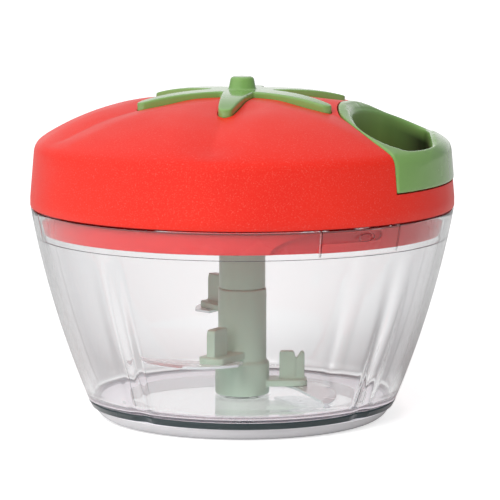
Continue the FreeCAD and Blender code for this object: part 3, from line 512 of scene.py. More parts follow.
# Painted light: sides that don't face outwards get a pale colour in place of the band's dark.
outwards = remap(tree, facing.outputs["Value"], 20 * MM, 35 * MM, 0.0, 1.0)
hand = effect(tree, handling)
dark = mixed(tree, hand["Cloud"], (0.036, 0.056, 0.060), (0.028, 0.046, 0.050))
link(tree, mixed(tree, outwards, (0.62, 0.63, 0.66), dark), shader.inputs["Base Color"])
link(tree, remap(tree, hand["Patch"], 0.0, 1.0, 0.10, 0.20), shader.inputs["Roughness"])
made["base_band"] = material
print("band finish is", material.name)

# %% [markdown]
# The cord is braided polyester, slightly off-white; the gaps between the strands get painted shade.

# %% Cord finish
material, tree, shader = start("braided_cord")
strands = effect(tree, braid)
# Painted shade: the colour darkens where the strands lie low, in the gaps between them.
colour = mixed(tree, strands["Shade"], (0.34, 0.33, 0.30), (0.78, 0.77, 0.72))
link(tree, colour, shader.inputs["Base Color"])
link(tree, remap(tree, strands["Shade"], 0.0, 1.0, 0.85, 0.6), shader.inputs["Roughness"])
link(tree, bump(tree, strands["Height"], 0.25), shader.inputs["Normal"])
made["cord"] = material
print("cord finish is", material.name)

# %% [markdown]
# The bowl is polished clear plastic. It darkens with the length of the way through it, which is why
# its sides look grey while its front is clear: that is an absorbing volume inside the surface. Faint
# smears change the gloss. For shadows it counts as open, as light passes it.

# %% Clear plastic
BOWL_TINT, SHADOW_TINT = (0.988, 0.988, 0.991), (0.96, 0.96, 0.965)
SOAK_COLOUR, SOAK_DENSITY = (0.52, 0.51, 0.57), 15.0
SMEAR = 0.03
material, tree, shader = start("clear_plastic")
set_plain(shader, Base_Color=(*BOWL_TINT, 1), Transmission_Weight=1.0, IOR=1.5)
hand = effect(tree, handling, Scale=45.0)
link(tree, remap(tree, hand["Patch"], 0.0, 1.0, 0.0, SMEAR), shader.inputs["Roughness"])
rays = tree.nodes.new("ShaderNodeLightPath").outputs
open_way = tree.nodes.new("ShaderNodeBsdfTransparent")
plug_colour(tree, open_way.inputs["Color"], SHADOW_TINT)
out = tree.nodes["Material Output"]
either = mix_shaders(tree, rays["Is Shadow Ray"], shader.outputs[0], open_way.outputs[0])
link(tree, either, out.inputs["Surface"])
soak = tree.nodes.new("ShaderNodeVolumeAbsorption")
plug_colour(tree, soak.inputs["Color"], SOAK_COLOUR)
soak.inputs["Density"].default_value = SOAK_DENSITY
link(tree, soak.outputs[0], out.inputs["Volume"])
made["clear_bowl"] = material
print("clear plastic soaks up light at", SOAK_DENSITY, "per metre")

# %% [markdown]
# The foot ring is milky: a little light goes through it, and most is scattered back. Its top lies
# against the clear floor and collects light from there, which a faint glow of the top stands for.

# %% Milky foot
FOOT_GLOW = (0.30, 0.29, 0.31)
material, tree, shader = start("milky_plastic")
hand = effect(tree, handling, Scale=70.0)
link(tree, mixed(tree, hand["Cloud"], (0.85, 0.84, 0.86), (0.78, 0.77, 0.79)), shader.inputs["Base Color"])
link(tree, remap(tree, hand["Patch"], 0.0, 1.0, 0.16, 0.26), shader.inputs["Roughness"])
spot = split_up(tree, object_point(tree))
on_top = remap(tree, spot["Z"], 3.9 * MM, 4.02 * MM, 0.0, 1.0)
link(tree, mixed(tree, on_top, BLACK, FOOT_GLOW), shader.inputs["Emission Color"])
set_plain(shader, Transmission_Weight=0.05, IOR=1.45, Emission_Strength=1.0)
made["foot"] = material
print(len(made), "finishes")

# %% [markdown]
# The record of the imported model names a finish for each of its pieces. The CAD pieces get theirs
# first, so that none is left bare, also where a piece further down is built on a copy of one.

# %% Finishes on the CAD pieces
slots = {s["node"]: s["material_slot"] for s in frame["record"]["subparts"]}
for node, piece in frame["nodes"].items():
    finish = made[slots[node]]
    for holder in piece.material_slots:
        holder.material = finish
    if not piece.material_slots:
        piece.data.materials.append(finish)
print(len(slots), "CAD pieces have their finish")

# %% [markdown]
# Most pieces here are turned, as on a lathe. In Blender a turned piece can be spun from a profile,
# or built ring by ring: a circle is added at its size and place, its edge is extruded upwards and
# scaled to the next radius. The second way gives clean loops that are easy to shape further.

# %% Turned pieces
SEGMENTS = 240

def nothing_selected():
    """Back to object mode, with no piece selected."""
    if bpy.context.mode != "OBJECT":
        bpy.ops.object.mode_set(mode="OBJECT")
    bpy.ops.object.select_all(action="DESELECT")

def only(piece):
    nothing_selected()
    piece.select_set(True)
    bpy.context.view_layer.objects.active = piece

def first_ring(name, radius, height, segments):
    nothing_selected()
    bpy.ops.mesh.primitive_circle_add(vertices=segments, radius=radius * MM)
    piece = bpy.context.object
    piece.name = name
    bpy.ops.object.mode_set(mode="EDIT")
    bpy.ops.transform.translate(value=mm(0, 0, height))
    return piece

def next_ring(radius, height, old_radius, old_height):
    up = mm(0, 0, height - old_height)
    bpy.ops.mesh.extrude_edges_move(TRANSFORM_OT_translate={"value": up})
    share = radius / old_radius
    bpy.ops.transform.resize(value=(share, share, 1), center_override=(0, 0, 0))

def face_outwards(piece):
    """Turns all faces of a closed piece to its outside."""
    only(piece)
    bpy.ops.object.mode_set(mode="EDIT")
    bpy.ops.mesh.select_all(action="SELECT")
    bpy.ops.mesh.normals_make_consistent(inside=False)
    bpy.ops.object.mode_set(mode="OBJECT")
    return piece

def turned(name, profile, segments=SEGMENTS, closed=False):
    """Rings given as (radius, height), bottom first. Closed joins the last ring to the first."""
    piece = first_ring(name, *profile[0], segments)
    for old, new in zip(profile, profile[1:]):
        next_ring(*new, *old)
    bpy.ops.mesh.select_all(action="DESELECT")
    bpy.ops.mesh.select_non_manifold(extend=False)
    if closed:
        bpy.ops.mesh.bridge_edge_loops()
    else:
        bpy.ops.mesh.fill_holes(sides=0)
    return face_outwards(piece)

print("round pieces get", SEGMENTS, "segments")

# %% [markdown]
# Outlines that aren't round, such as the calyx and the handle, are drawn: the vertices of a circle
# primitive are pulled onto the outline, the outline is filled, and the face is extruded upwards.
# Such solids are then joined to others or cut from them.

# %% Drawn pieces

def drawn(name, outline, bottom, height):
    """A prism over an outline of (x, y) points."""
    piece = first_ring(name, 1, bottom, len(outline))
    bpy.ops.object.mode_set(mode="OBJECT")
    for vertex, point in zip(piece.data.vertices, outline):
        vertex.co.x, vertex.co.y = point[0] * MM, point[1] * MM
    bpy.ops.object.mode_set(mode="EDIT")
    bpy.ops.mesh.select_all(action="SELECT")
    bpy.ops.mesh.edge_face_add()
    bpy.ops.mesh.extrude_region_move(TRANSFORM_OT_translate={"value": mm(0, 0, height)})
    return face_outwards(piece)

def turned_about_z(points, bearing):
    """Points drawn along +X, turned so that they lie along a bearing (0 is the front, 90 is +X)."""
    angle = math.radians(bearing - 90)
    c, s = math.cos(angle), math.sin(angle)
    return [(x * c - y * s, x * s + y * c) for x, y in points]

def bearing_spot(radius, bearing, aside=0):
    """The (x, y) of a place at a distance from the axis, along a bearing."""
    return turned_about_z([(radius, aside)], bearing)[0]

def boolean(piece, tool, operation="DIFFERENCE"):
    """Cuts, joins or intersects two closed solids, applies it and takes the tool away."""
    only(piece)
    step = piece.modifiers.new("boolean", "BOOLEAN")
    step.operation = operation
    step.solver = "MANIFOLD"
    step.object = tool
    bpy.ops.object.modifier_apply(modifier=step.name)
    bpy.data.objects.remove(tool)

def rod(name, radius, bottom, height, at=(0, 0), segments=48):
    """An upright cylinder."""
    nothing_selected()
    place = mm(at[0], at[1], bottom + height / 2)
    bpy.ops.mesh.primitive_cylinder_add(vertices=segments, radius=radius * MM, depth=height * MM,
                                        location=place)
    bpy.ops.object.transform_apply()
    piece = bpy.context.object
    piece.name = name
    return piece

def copied(piece, name):
    twin = piece.copy()
    twin.data = piece.data.copy()
    twin.name = name
    scene.collection.objects.link(twin)
    return twin

def finish_piece(piece, material, body, nodes, angle=35):
    """Shading, material, the body that the piece rides on and the CAD nodes that it replaces."""
    only(piece)
    bpy.ops.object.shade_smooth_by_angle(angle=math.radians(angle))
    piece.data.materials.clear()
    piece.data.materials.append(material)
    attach(piece, body)
    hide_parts(*nodes)
    count = sum(len(p.vertices) - 2 for p in piece.data.polygons)
    print(piece.name, "has", count, "triangles")

# %% [markdown]
# The lid's outer form is a low dome on a short wall, with a soft shoulder. Six shallow valleys run
# out from under the calyx, like the ribs of a tomato.

# %% Lid form
LID_BOTTOM, LID_RADIUS, STRAIGHT_TOP = 68.2, 67.5, 71.2
SHOULDER_SOFTNESS, ON_DOME = 2.8, 60.0
VALLEYS = [-9 + 60 * k for k in range(6)]

def dome_height(radius, lower=0.0, edge=SHOULDER_RADIUS):
    """Height of the dome over a place, or of a surface that lies lower and ends at another edge."""
    return SHOULDER_HEIGHT - lower + DOME_RISE * (1 - (radius / edge) ** DOME_POWER)

def rounded_corner(before, corner, after, softness, steps=6):
    """Points on a curve that leaves one line and joins the next, in place of their corner."""
    before, corner, after = Vector(before), Vector(corner), Vector(after)
    start = corner + (before - corner).normalized() * softness
    end = corner + (after - corner).normalized() * softness
    return [tuple((1 - t) ** 2 * start + 2 * t * (1 - t) * corner + t * t * end)
            for t in (k / steps for k in range(steps + 1))]

def lid_profile():
    """Outer profile of the lid from the bottom edge to the middle of the dome."""
    profile = [(LID_RADIUS - 0.5, LID_BOTTOM), (LID_RADIUS - 0.15, LID_BOTTOM + 0.12),
               (LID_RADIUS, LID_BOTTOM + 0.5), (LID_RADIUS, STRAIGHT_TOP)]
    for share in (k / 16 for k in range(1, 12)):
        profile.append((LID_RADIUS + (SHOULDER_RADIUS - LID_RADIUS) * share,
                        STRAIGHT_TOP + (SHOULDER_HEIGHT - STRAIGHT_TOP) * share))
    wall_top = (SHOULDER_RADIUS, SHOULDER_HEIGHT)
    profile += rounded_corner(profile[-1], wall_top, (ON_DOME, dome_height(ON_DOME)), SHOULDER_SOFTNESS)
    radius = profile[-1][0] - 1.2
    while radius > 1.5:
        profile.append((radius, dome_height(radius)))
        radius -= 1.4
    return profile

outer = lid_profile()
print("lid profile has", len(outer), "rings, top at", round(outer[-1][1], 2))

# %% [markdown]
# The valleys are sunk with proportional editing: the vertices along a line are moved down, and
# their neighbours follow, less and less. A wide smooth fall-off makes the hollow, and a narrow
# sharp one makes the crease at its bottom. One short dip more, at a single bearing, stands for the
# deeper place in the photograph where a valley meets the far side of the finger hole.

# %% Lid block with valleys
HOLLOW = (28, 56, 1.2, 14, "SMOOTH")
CREASE = (30, 61, 0.4, 6, "SHARP")
HOLE_DIP = (50, 61, 1.3, 13, "SMOOTH", [99])

def sink_valleys(piece, start, end, depth, width, falloff, bearings=VALLEYS):
    """Lowers lines that run from start to end along each bearing, and their surroundings."""
    only(piece)
    bpy.ops.object.mode_set(mode="EDIT")
    for bearing in bearings:
        bpy.ops.mesh.select_all(action="DESELECT")
        bpy.ops.object.mode_set(mode="OBJECT")
        x, y = bearing_spot(1, bearing)
        for vertex in piece.data.vertices:
            along = (vertex.co.x * x + vertex.co.y * y) / MM
            across = (vertex.co.y * x - vertex.co.x * y) / MM
            on_top = vertex.co.z / MM > SHOULDER_HEIGHT - 2
            vertex.select = on_top and start < along < end and abs(across) < 0.3
        bpy.ops.object.mode_set(mode="EDIT")
        bpy.ops.transform.translate(value=mm(0, 0, -depth), use_proportional_edit=True,
                                    proportional_edit_falloff=falloff, proportional_size=width * MM)
    bpy.ops.object.mode_set(mode="OBJECT")

lid = turned("tomato_lid", outer, 360)
for groove in (HOLLOW, CREASE, HOLE_DIP):
    sink_valleys(lid, *groove)
print("valleys sunk, lid now", [round(c / MM, 1) for c in lid.dimensions], "mm")

# %% [markdown]
# The handle lies in a pocket of the lid. Seen from above its outline is one large circle whose
# middle lies near the lid's wall. The same form, a little smaller, is used later for the handle.

# %% Handle outline
HANDLE_BEARING = 76.0
HANDLE_START, HANDLE_TIP = 32.0, 36.0
HANDLE_BOTTOM = 77.3
GAP, TALL = 0.35, 40

def handle_form(name, grow, bottom):
    """A tall round solid over the handle's outline."""
    middle = bearing_spot(HANDLE_START + HANDLE_TIP, HANDLE_BEARING)
    return rod(name, HANDLE_TIP + grow, bottom, TALL, middle, SEGMENTS)

print("handle leaves the lid at", HANDLE_BEARING, "degrees")

# %% [markdown]
# The calyx is a star of six tapering leaves. Its outline is drawn once for half a leaf, then
# mirrored and turned. The roots of neighbouring leaves run into each other in a small curve.

# %% Calyx outline
LEAF_REACH, LEAF_TIP, TIP_SWEEP = 35.2, 2.3, 84
SIDE_SPREAD = 1.74
HALF_LEAF = [(8.75, 5.05), (9.5, 4.86), (10.5, 4.7), (12.5, 4.5), (15.5, 4.22), (19.0, 3.88),
             (24.0, 3.4), (29.0, 2.85), (32.0, 2.5)]

def calyx_outline(grow):
    """The star as (x, y) points, grown outwards by some millimetres."""
    tip_centre, reach = LEAF_REACH - LEAF_TIP, LEAF_TIP + grow
    side = [(u + SIDE_SPREAD * grow, v + grow) for u, v in HALF_LEAF]
    tip = []
    for k in range(1, 12):
        angle = math.radians(TIP_SWEEP - 2 * TIP_SWEEP * k / 12)
        tip.append((tip_centre + reach * math.cos(angle), reach * math.sin(angle)))
    leaf = side + tip + [(u, -v) for u, v in reversed(side)]
    outline = []
    for bearing in VALLEYS:
        outline += turned_about_z(list(reversed(leaf)), bearing)
    return outline

print("calyx is drawn with", len(calyx_outline(0)), "points")

# %% [markdown]
# The lid is hollow. The hollow is built first, as a solid of its own: it stops short of the
# pocket's walls and of the three screw posts, so that these are left standing when it is cut out
# of the lid.

# %% Hollow of the lid
WALL, DOME_WALL = 2.0, 3.2
POCKET_WALL, POCKET_FLOOR = 1.6, 1.5
POST_SPOTS = [bearing_spot(52.0, b) for b in (-15, 150, 235)]
POST_RADIUS, SCREW_RADIUS = 3.4, 1.5
inner_edge = SHOULDER_RADIUS - WALL
inside = [(LID_RADIUS - WALL, LID_BOTTOM - 1), (LID_RADIUS - WALL, STRAIGHT_TOP)]
inside += rounded_corner(inside[-1], (inner_edge, SHOULDER_HEIGHT - DOME_WALL), (58, 92), 2.5, 4)
radius = inside[-1][0] - 2
while radius > 3:
    inside.append((radius, dome_height(radius, DOME_WALL, inner_edge)))
    radius -= 3
hollow = turned("hollow", inside, 120)
boolean(hollow, handle_form("pocket_wall", GAP + POCKET_WALL, HANDLE_BOTTOM - GAP - POCKET_FLOOR))
for spot in POST_SPOTS:
    boolean(hollow, rod("post", POST_RADIUS, 60, 60, spot))
boolean(lid, handle_form("pocket", GAP, HANDLE_BOTTOM - GAP))
print("hollow has", len(inside), "rings")

# %% [markdown]
# The calyx lies in a bed of its own outline, grown by a small play, whose floor follows the dome. A
# prism over the outline loses what lies under that floor, and what is left is cut from the lid.
# Then come the hollow and the screw holes.

# %% Bed of the calyx
CALYX_RECESS, CALYX_PLAY = 2.2, 0.22
INNER_RINGS = range(38, 1, -3)
bed_profile = [(r, dome_height(r, CALYX_RECESS)) for r in (*range(66, 41, -6), *INNER_RINGS)]
bed = turned("bed", [(66, 60)] + bed_profile, 120)
recess = drawn("recess", calyx_outline(CALYX_PLAY), 84, 30)
boolean(recess, bed)
boolean(lid, recess)
boolean(lid, hollow)
for spot in POST_SPOTS:
    boolean(lid, rod("screw_hole", SCREW_RADIUS, 60, 18.2, spot, 24))
print("lid has", len(POST_SPOTS), "screw posts")

# %% [markdown]
# The cord leaves the lid through a hole in the pocket's wall. It is drilled with a rod that lies
# along the pull, at the height of the wound cord.

# %% Passage for the cord
WINDING_HEIGHT = 82.9

def passage(name, radius, start, end):
    """A rod along the pull's direction, at the height of the wound cord."""
    nothing_selected()
    x, y = bearing_spot((start + end) / 2, HANDLE_BEARING)
    bpy.ops.mesh.primitive_cylinder_add(
        vertices=24, radius=radius * MM, depth=(end - start) * MM,
        location=mm(x, y, WINDING_HEIGHT),
        rotation=(0, math.pi / 2, math.radians(HANDLE_BEARING - 90)))
    bpy.ops.object.transform_apply()
    piece = bpy.context.object
    piece.name = name
    return piece

boolean(lid, passage("eyelet_hole", 2.7, 20, 38))
finish_piece(lid, made["red_cover"], "lid", ["top_cover"], 32)

# %% [markdown]
# The calyx is one moulded piece: a star with a crowned top, a hollow underside that rests on the
# dome, and a short stalk. Moulded edges are never sharp. Bevels on such a cut-out shape tangle, so
# the joined solid is remeshed into small even cells and smoothed, which rounds every edge alike.

# %% Calyx
CALYX_RISE, CALYX_EDGE, UNDER_PLAY = 1.9, 60.5, 0.12
STALK = [(4.9, 102.0), (4.75, 104.4), (4.4, 105.2), (4.15, 106.4), (3.8, 108.3), (3.5, 108.85),
         (2.8, 109.12), (1.0, 109.15)]

def moulded(piece, cell, rounds):
    """Even cells and light smoothing, so that all edges get a small radius."""
    only(piece)
    remesh = piece.modifiers.new("even_cells", "REMESH")
    remesh.mode = "VOXEL"
    remesh.voxel_size = cell * MM
    bpy.ops.object.modifier_apply(modifier=remesh.name)
    smooth = piece.modifiers.new("round_edges", "SMOOTH")
    smooth.factor = 0.5
    smooth.iterations = rounds
    bpy.ops.object.modifier_apply(modifier=smooth.name)

def crowned(radius):
    """Height of the calyx over a place: a dome of its own, steeper than the lid's."""
    return SHOULDER_HEIGHT + (DOME_RISE + CALYX_RISE) * (1 - (radius / CALYX_EDGE) ** DOME_POWER)

crown = turned("crown", [(45, 80)] + [(r, crowned(r)) for r in (*range(45, 0, -3), 1)], 120)
under_floor = [(r, dome_height(r, CALYX_RECESS - UNDER_PLAY)) for r in (60, 48, 42, *INNER_RINGS)]
under = turned("under", [(60, 60)] + under_floor, 120)
calyx = drawn("tomato_calyx", calyx_outline(0), 86, 30)
boolean(calyx, crown, "INTERSECT")
boolean(calyx, under)
boolean(calyx, turned("stalk", STALK, 64), "UNION")
moulded(calyx, 0.27, 16)
top = max(v.co.z for v in calyx.data.vertices) / MM
print("calyx top at", round(top, 2), "mm")
finish_piece(calyx, made["leaf_green"], "lid", ["calyx"], 60)

# %% [markdown]
# The pull handle continues the lid's surface. It is a skin with a finger hole, a short skirt round
# the hole, and a grip at the outside. It is cut from the lid's own outer form, so both surfaces
# line up, and then gets the same moulded edges as the calyx. It stands proud of the lid by a hair.

# %% Handle
GRIP_INNER, GRIP_SIDE = 63.3, 58.9
HOLE_START, HOLE_RADIUS, HOLE_CORNER = 36.9, 45.0, 8.5
SKIN, SKIRT, PROUD = 2.3, 2.2, 0.35
OUTLINE_ROUNDS = 4

def arc_points(centre, start, end, steps):
    """Points on the shorter arc about a centre, from start to end."""
    a = math.atan2(start[1] - centre[1], start[0] - centre[0])
    b = math.atan2(end[1] - centre[1], end[0] - centre[0])
    turn = (b - a + math.pi) % (2 * math.pi) - math.pi
    reach = math.dist(start, centre)
    return [(centre[0] + reach * math.cos(a + turn * k / steps),
             centre[1] + reach * math.sin(a + turn * k / steps)) for k in range(steps)]

def finger_hole(grow):
    """Round towards the middle of the lid, cut off straight at the grip, with softened corners."""
    centre = HOLE_START + HOLE_RADIUS
    inner, outer_side, corner = HOLE_RADIUS + grow, GRIP_INNER + grow / 2, HOLE_CORNER + grow
    x = ((outer_side - corner) ** 2 - (inner - corner) ** 2 + centre ** 2) / 2 / centre
    bend = Vector((x, math.sqrt((outer_side - corner) ** 2 - x ** 2)))
    middle = Vector((centre, 0))
    on_inner = middle + (bend - middle).normalized() * inner
    on_outer = bend.normalized() * outer_side
    tip, end = (centre - inner, 0), (outer_side, 0)
    half = arc_points(middle, tip, on_inner, 28) + arc_points(bend, on_inner, on_outer, 12)
    half += arc_points((0, 0), on_outer, end, 12)
    other = [(x, -y) for x, y in reversed(half[1:])]
    outline = turned_about_z(half + [end] + other, HANDLE_BEARING)
    outline = [(min(x, GRIP_SIDE + grow / 2), y) for x, y in outline]
    for _ in range(OUTLINE_ROUNDS):
        before, after = outline[-1:] + outline[:-1], outline[1:] + outline[:1]
        outline = [((a[0] + 2 * b[0] + c[0]) / 4, (a[1] + 2 * b[1] + c[1]) / 4)
                   for a, b, c in zip(before, outline, after)]
    return outline

handle = turned("pull_handle_grip", [(r + PROUD, z + PROUD) for r, z in lid_profile()])
sink_valleys(handle, *HOLLOW)
sink_valleys(handle, *HOLE_DIP)
boolean(handle, handle_form("outline", 0, HANDLE_BOTTOM), "INTERSECT")
under_skin = [(GRIP_INNER, HANDLE_BOTTOM - 1)]
for radius in (GRIP_INNER, 62, *range(60, 23, -3), 18, 10, 3):
    under_skin.append((radius, dome_height(radius, SKIN, SHOULDER_RADIUS - SKIN)))
cavity = turned("cavity", under_skin)
boolean(cavity, drawn("skirt", finger_hole(SKIRT), HANDLE_BOTTOM - 2, TALL))
boolean(handle, cavity)
boolean(handle, drawn("hole", finger_hole(0), HANDLE_BOTTOM - 2, TALL))
boolean(handle, passage("cord_hole", 1.0, 30, 45))
print("handle block is", [round(c / MM, 1) for c in handle.dimensions], "mm")

# %% [markdown]
# The edge of the hole is rolled over, so that it doesn't cut into the fingers. Three shallow steps
# round the hole, each following the dome, are cut first, and the smoothing turns them into a curve.

# %% Rolled edge of the hole
STEPS = ((0.8, 1.7), (1.6, 0.8), (2.5, 0.25))
for grow, depth in STEPS:
    step = drawn("step", finger_hole(grow), 80, TALL)
    below = [(r, dome_height(r, depth)) for r in (66, 64, 62, *range(60, 29, -3), 24, 12, 2)]
    boolean(step, turned("below", [(66, 60)] + below))
    boolean(handle, step)
moulded(handle, 0.36, 14)
print("hole rolled over in", len(STEPS), "steps")

# %% [markdown]
# At both ends of the hole the grip meets the skin in a knuckle, which is rounder than the other
# edges. Its vertices are picked by their place, near the surface, and smoothed once more.

# %% Knuckles of the grip
KNUCKLE_START, KNUCKLE_END, KNUCKLE_DEPTH = 56.5, 64, 5
only(handle)
x, y = bearing_spot(1, HANDLE_BEARING)
for vertex in handle.data.vertices:
    along = (vertex.co.x * x + vertex.co.y * y) / MM
    below_dome = dome_height(math.hypot(vertex.co.x, vertex.co.y) / MM) - vertex.co.z / MM
    vertex.select = KNUCKLE_START < along < KNUCKLE_END and below_dome < KNUCKLE_DEPTH
bpy.ops.object.mode_set(mode="EDIT")
bpy.ops.mesh.select_mode(type="VERT")
bpy.ops.mesh.vertices_smooth(factor=0.5, repeat=30)
bpy.ops.object.mode_set(mode="OBJECT")
finish_piece(handle, made["leaf_green"], "handle", ["pull_handle"], 60)

# %% [markdown]
# The bowl is moulded in clear plastic: a thick floor, walls that swell gently, and a plain rim zone
# that takes the lid. All of it is one chain of rings that runs from under the floor, up the
# outside, over the rim and down the inside.

# %% Bowl rings
BOWL_BOTTOM, WALL_FOOT, RIM_TOP = 4.1, 6.3, 67.9
FLOOR_TOP, LEDGE, ROUND_FROM = 7.4, 59.1, 58.0
BOWL_WALL, RIM_WALL, BAND_WALL = 2.8, 2.2, 2.4
FOOT_RADIUS, FLARE, BELLY = 49.4, 18.0, 7.2
FLOOR_CORNER = 3.0

def bowl_radius(height):
    """Outer radius of the bowl: it widens upwards by the flare and swells by the belly."""
    share = (height - WALL_FOOT) / (RIM_TOP - WALL_FOOT)
    return FOOT_RADIUS + FLARE * share + BELLY * share * (1 - share)

def rim_bore(height):
    return bowl_radius(height) - RIM_WALL

def heights(start, end, step):
    """Even heights from start to end, about a step apart."""
    count = max(1, round(abs(end - start) / step))
    return [start + (end - start) * k / count for k in range(count + 1)]

def quarter(radius, centre, start, steps=5):
    """A quarter circle of (radius, height) points about a centre, counter-clockwise from start."""
    return [(centre[0] + radius * math.cos(math.radians(start + 90 * k / steps)),
             centre[1] + radius * math.sin(math.radians(start + 90 * k / steps)))
            for k in range(steps + 1)]

profile = [(2.0, BOWL_BOTTOM), (20, BOWL_BOTTOM), (bowl_radius(BOWL_BOTTOM) - BAND_WALL, BOWL_BOTTOM)]
profile += [(bowl_radius(WALL_FOOT) - BAND_WALL, WALL_FOOT), (bowl_radius(WALL_FOOT) - 0.4, WALL_FOOT)]
profile += [(bowl_radius(WALL_FOOT + k), WALL_FOOT + k) for k in (0.35, 0.5)]
profile += [(bowl_radius(z), z) for z in heights(WALL_FOOT + 1.4, RIM_TOP - 0.6, 1.4)]
profile += [(bowl_radius(RIM_TOP) - 0.12, RIM_TOP - 0.2), (bowl_radius(RIM_TOP) - 0.45, RIM_TOP)]
profile += [(rim_bore(RIM_TOP) + 0.45, RIM_TOP), (rim_bore(RIM_TOP) + 0.1, RIM_TOP - 0.25)]
profile += [(rim_bore(z), z) for z in [RIM_TOP - 0.35] + heights(RIM_TOP - 0.8, LEDGE + 0.35, 1.2)]
profile += [(rim_bore(z), z) for z in (LEDGE + 0.2, LEDGE + 0.12)]
profile += [(rim_bore(LEDGE) - 0.1, LEDGE + 0.02), (bowl_radius(LEDGE) - BOWL_WALL + 0.12, LEDGE)]
profile += [(bowl_radius(z) - BOWL_WALL, z) for z in (LEDGE - 0.1, LEDGE - 0.18)]
corner_top = FLOOR_TOP + FLOOR_CORNER
profile += [(bowl_radius(z) - BOWL_WALL, z) for z in heights(LEDGE - 0.4, corner_top + 1, 1.4)]
corner_middle = (bowl_radius(corner_top) - BOWL_WALL - FLOOR_CORNER, corner_top)
profile += reversed(quarter(FLOOR_CORNER, corner_middle, 270))
profile += [(r, FLOOR_TOP) for r in (40, 34, 28, 22, 16, 10, 5.2)]
profile += [(4.8, FLOOR_TOP + 0.15), (4.6, FLOOR_TOP + 0.5), (4.4, FLOOR_TOP + 1.0), (2.3, FLOOR_TOP + 1.0)]
profile += [(2.03, FLOOR_TOP + 0.75), (2.02, 5.1)]
bowl = turned("clear_bowl", profile, 360)
print("bowl has", len(profile), "rings")

# %% [markdown]
# Seen from above the bowl is a soft four-leaf shape with a narrow groove between the lobes, and it
# becomes round towards the rim. No single tool fades a shape along the height like this, so each
# vertex is moved in or out: the farther down it lies, the more it follows its lobe.

# %% Lobes and grooves
LOBE_SHIFT, LOBE_BEARING = 4.2, 4.75
GROOVE_HALF, GROOVE_DEPTH = 6.0, 0.9
FULL_FROM, BOSS_REACH = 44, 6

def bearing_of(point):
    return math.degrees(math.atan2(point.x, -point.y))

def lobe_reach(radius, height, bearing):
    """How far the lobed wall reaches at a bearing, where a round one would reach radius."""
    fade = min(1.0, max(0.0, (ROUND_FROM - height) / (ROUND_FROM - WALL_FOOT)))
    shift = LOBE_SHIFT * fade * min(1.0, radius / FULL_FROM)
    off = (bearing - LOBE_BEARING + 45) % 90 - 45
    angle = math.radians(off)
    reach = shift * math.cos(angle) + math.sqrt((radius - shift) ** 2 - (shift * math.sin(angle)) ** 2)
    into = max(0.0, 1 - (45 - abs(off)) / GROOVE_HALF)
    depth = GROOVE_DEPTH * math.sqrt(fade) * min(1.0, radius / FULL_FROM)
    return reach - depth * (1 - math.cos(math.pi * into)) / 2

def lobe(piece):
    """Moves the vertices outside the boss in or out to their lobes."""
    for vertex in piece.data.vertices:
        radius = math.hypot(vertex.co.x, vertex.co.y) / MM
        if radius < BOSS_REACH:
            continue
        share = lobe_reach(radius, vertex.co.z / MM, bearing_of(vertex.co)) / radius
        vertex.co.x *= share
        vertex.co.y *= share

lobe(bowl)
print("bowl is", [round(c / MM, 1) for c in bowl.dimensions], "mm")

# %% [markdown]
# Inside the rim are three low pads, each with an oval lug that slides into a slot of the lid. The
# pads are faces of the rim picked by their place and pushed inwards; the lugs are flat rods.

# %% Pads and lugs
PAD_START, PAD_END, PAD_RISE, ON_BORE = 21.4, 46.8, 0.15, 0.12
LUG_BEARING, LUG_HEIGHT, LUG_SINK, LUG_DEPTH, LUG_TILT = 34.2, 65.1, 0.35, 1.6, 16
LUG_SHAPE = (1.25, 3.1, 1)
LUG_BEARINGS = [LUG_BEARING + 120 * k for k in range(3)]

only(bowl)
bpy.ops.object.mode_set(mode="EDIT")
bpy.ops.mesh.select_all(action="DESELECT")
bpy.ops.object.mode_set(mode="OBJECT")
picked = 0
for face in bowl.data.polygons:
    centre = face.center / MM
    on_bore = abs(math.hypot(centre.x, centre.y) - rim_bore(centre.z)) < ON_BORE
    on_pad = PAD_START < bearing_of(centre) % 120 < PAD_END
    face.select = on_bore and on_pad and LEDGE + 0.3 < centre.z < RIM_TOP - 0.8
    picked += face.select
bpy.ops.object.mode_set(mode="EDIT")
bpy.ops.mesh.select_mode(type="FACE")
bpy.ops.mesh.extrude_region_shrink_fatten(TRANSFORM_OT_shrink_fatten={"value": PAD_RISE * MM})
bpy.ops.mesh.select_mode(type="VERT")
bpy.ops.object.mode_set(mode="OBJECT")
print(picked, "faces raised for the pads")

for bearing in LUG_BEARINGS:
    x, y = bearing_spot(rim_bore(LUG_HEIGHT) - LUG_SINK + LUG_DEPTH / 2, bearing)
    nothing_selected()
    bpy.ops.mesh.primitive_cylinder_add(
        vertices=48, radius=1 * MM, depth=LUG_DEPTH * MM, location=mm(x, y, LUG_HEIGHT),
        scale=LUG_SHAPE, rotation=(0, math.radians(90 - LUG_TILT), math.radians(bearing - 90)))
    bpy.ops.object.transform_apply()
    boolean(bowl, bpy.context.object, "UNION")

# %% [markdown]
# A fine upright line shows in the photograph at each end of a pad. It is cut here as a narrow
# groove into the bore, with a thin rod that leans like the rim.

# %% Lines at the pads
LINE_RADIUS = 0.3
low, high = LEDGE + 0.6, RIM_TOP + 1
middle = (low + high) / 2
lean = math.atan((rim_bore(high) - rim_bore(low)) / (high - low))
for bearing in [end + 120 * k for k in range(3) for end in (PAD_START, PAD_END)]:
    x, y = bearing_spot(rim_bore(middle), bearing)
    nothing_selected()
    bpy.ops.mesh.primitive_cylinder_add(
        vertices=12, radius=LINE_RADIUS * MM, depth=(high - low) * MM, location=mm(x, y, middle),
        rotation=(0, lean, math.radians(bearing - 90)))
    bpy.ops.object.transform_apply()
    boolean(bowl, bpy.context.object)
print("the rim leans by", round(math.degrees(lean), 1), "degrees")

# %% [markdown]
# Each lug is outlined on the rim by a fine oval line, cut with a flattened ring.

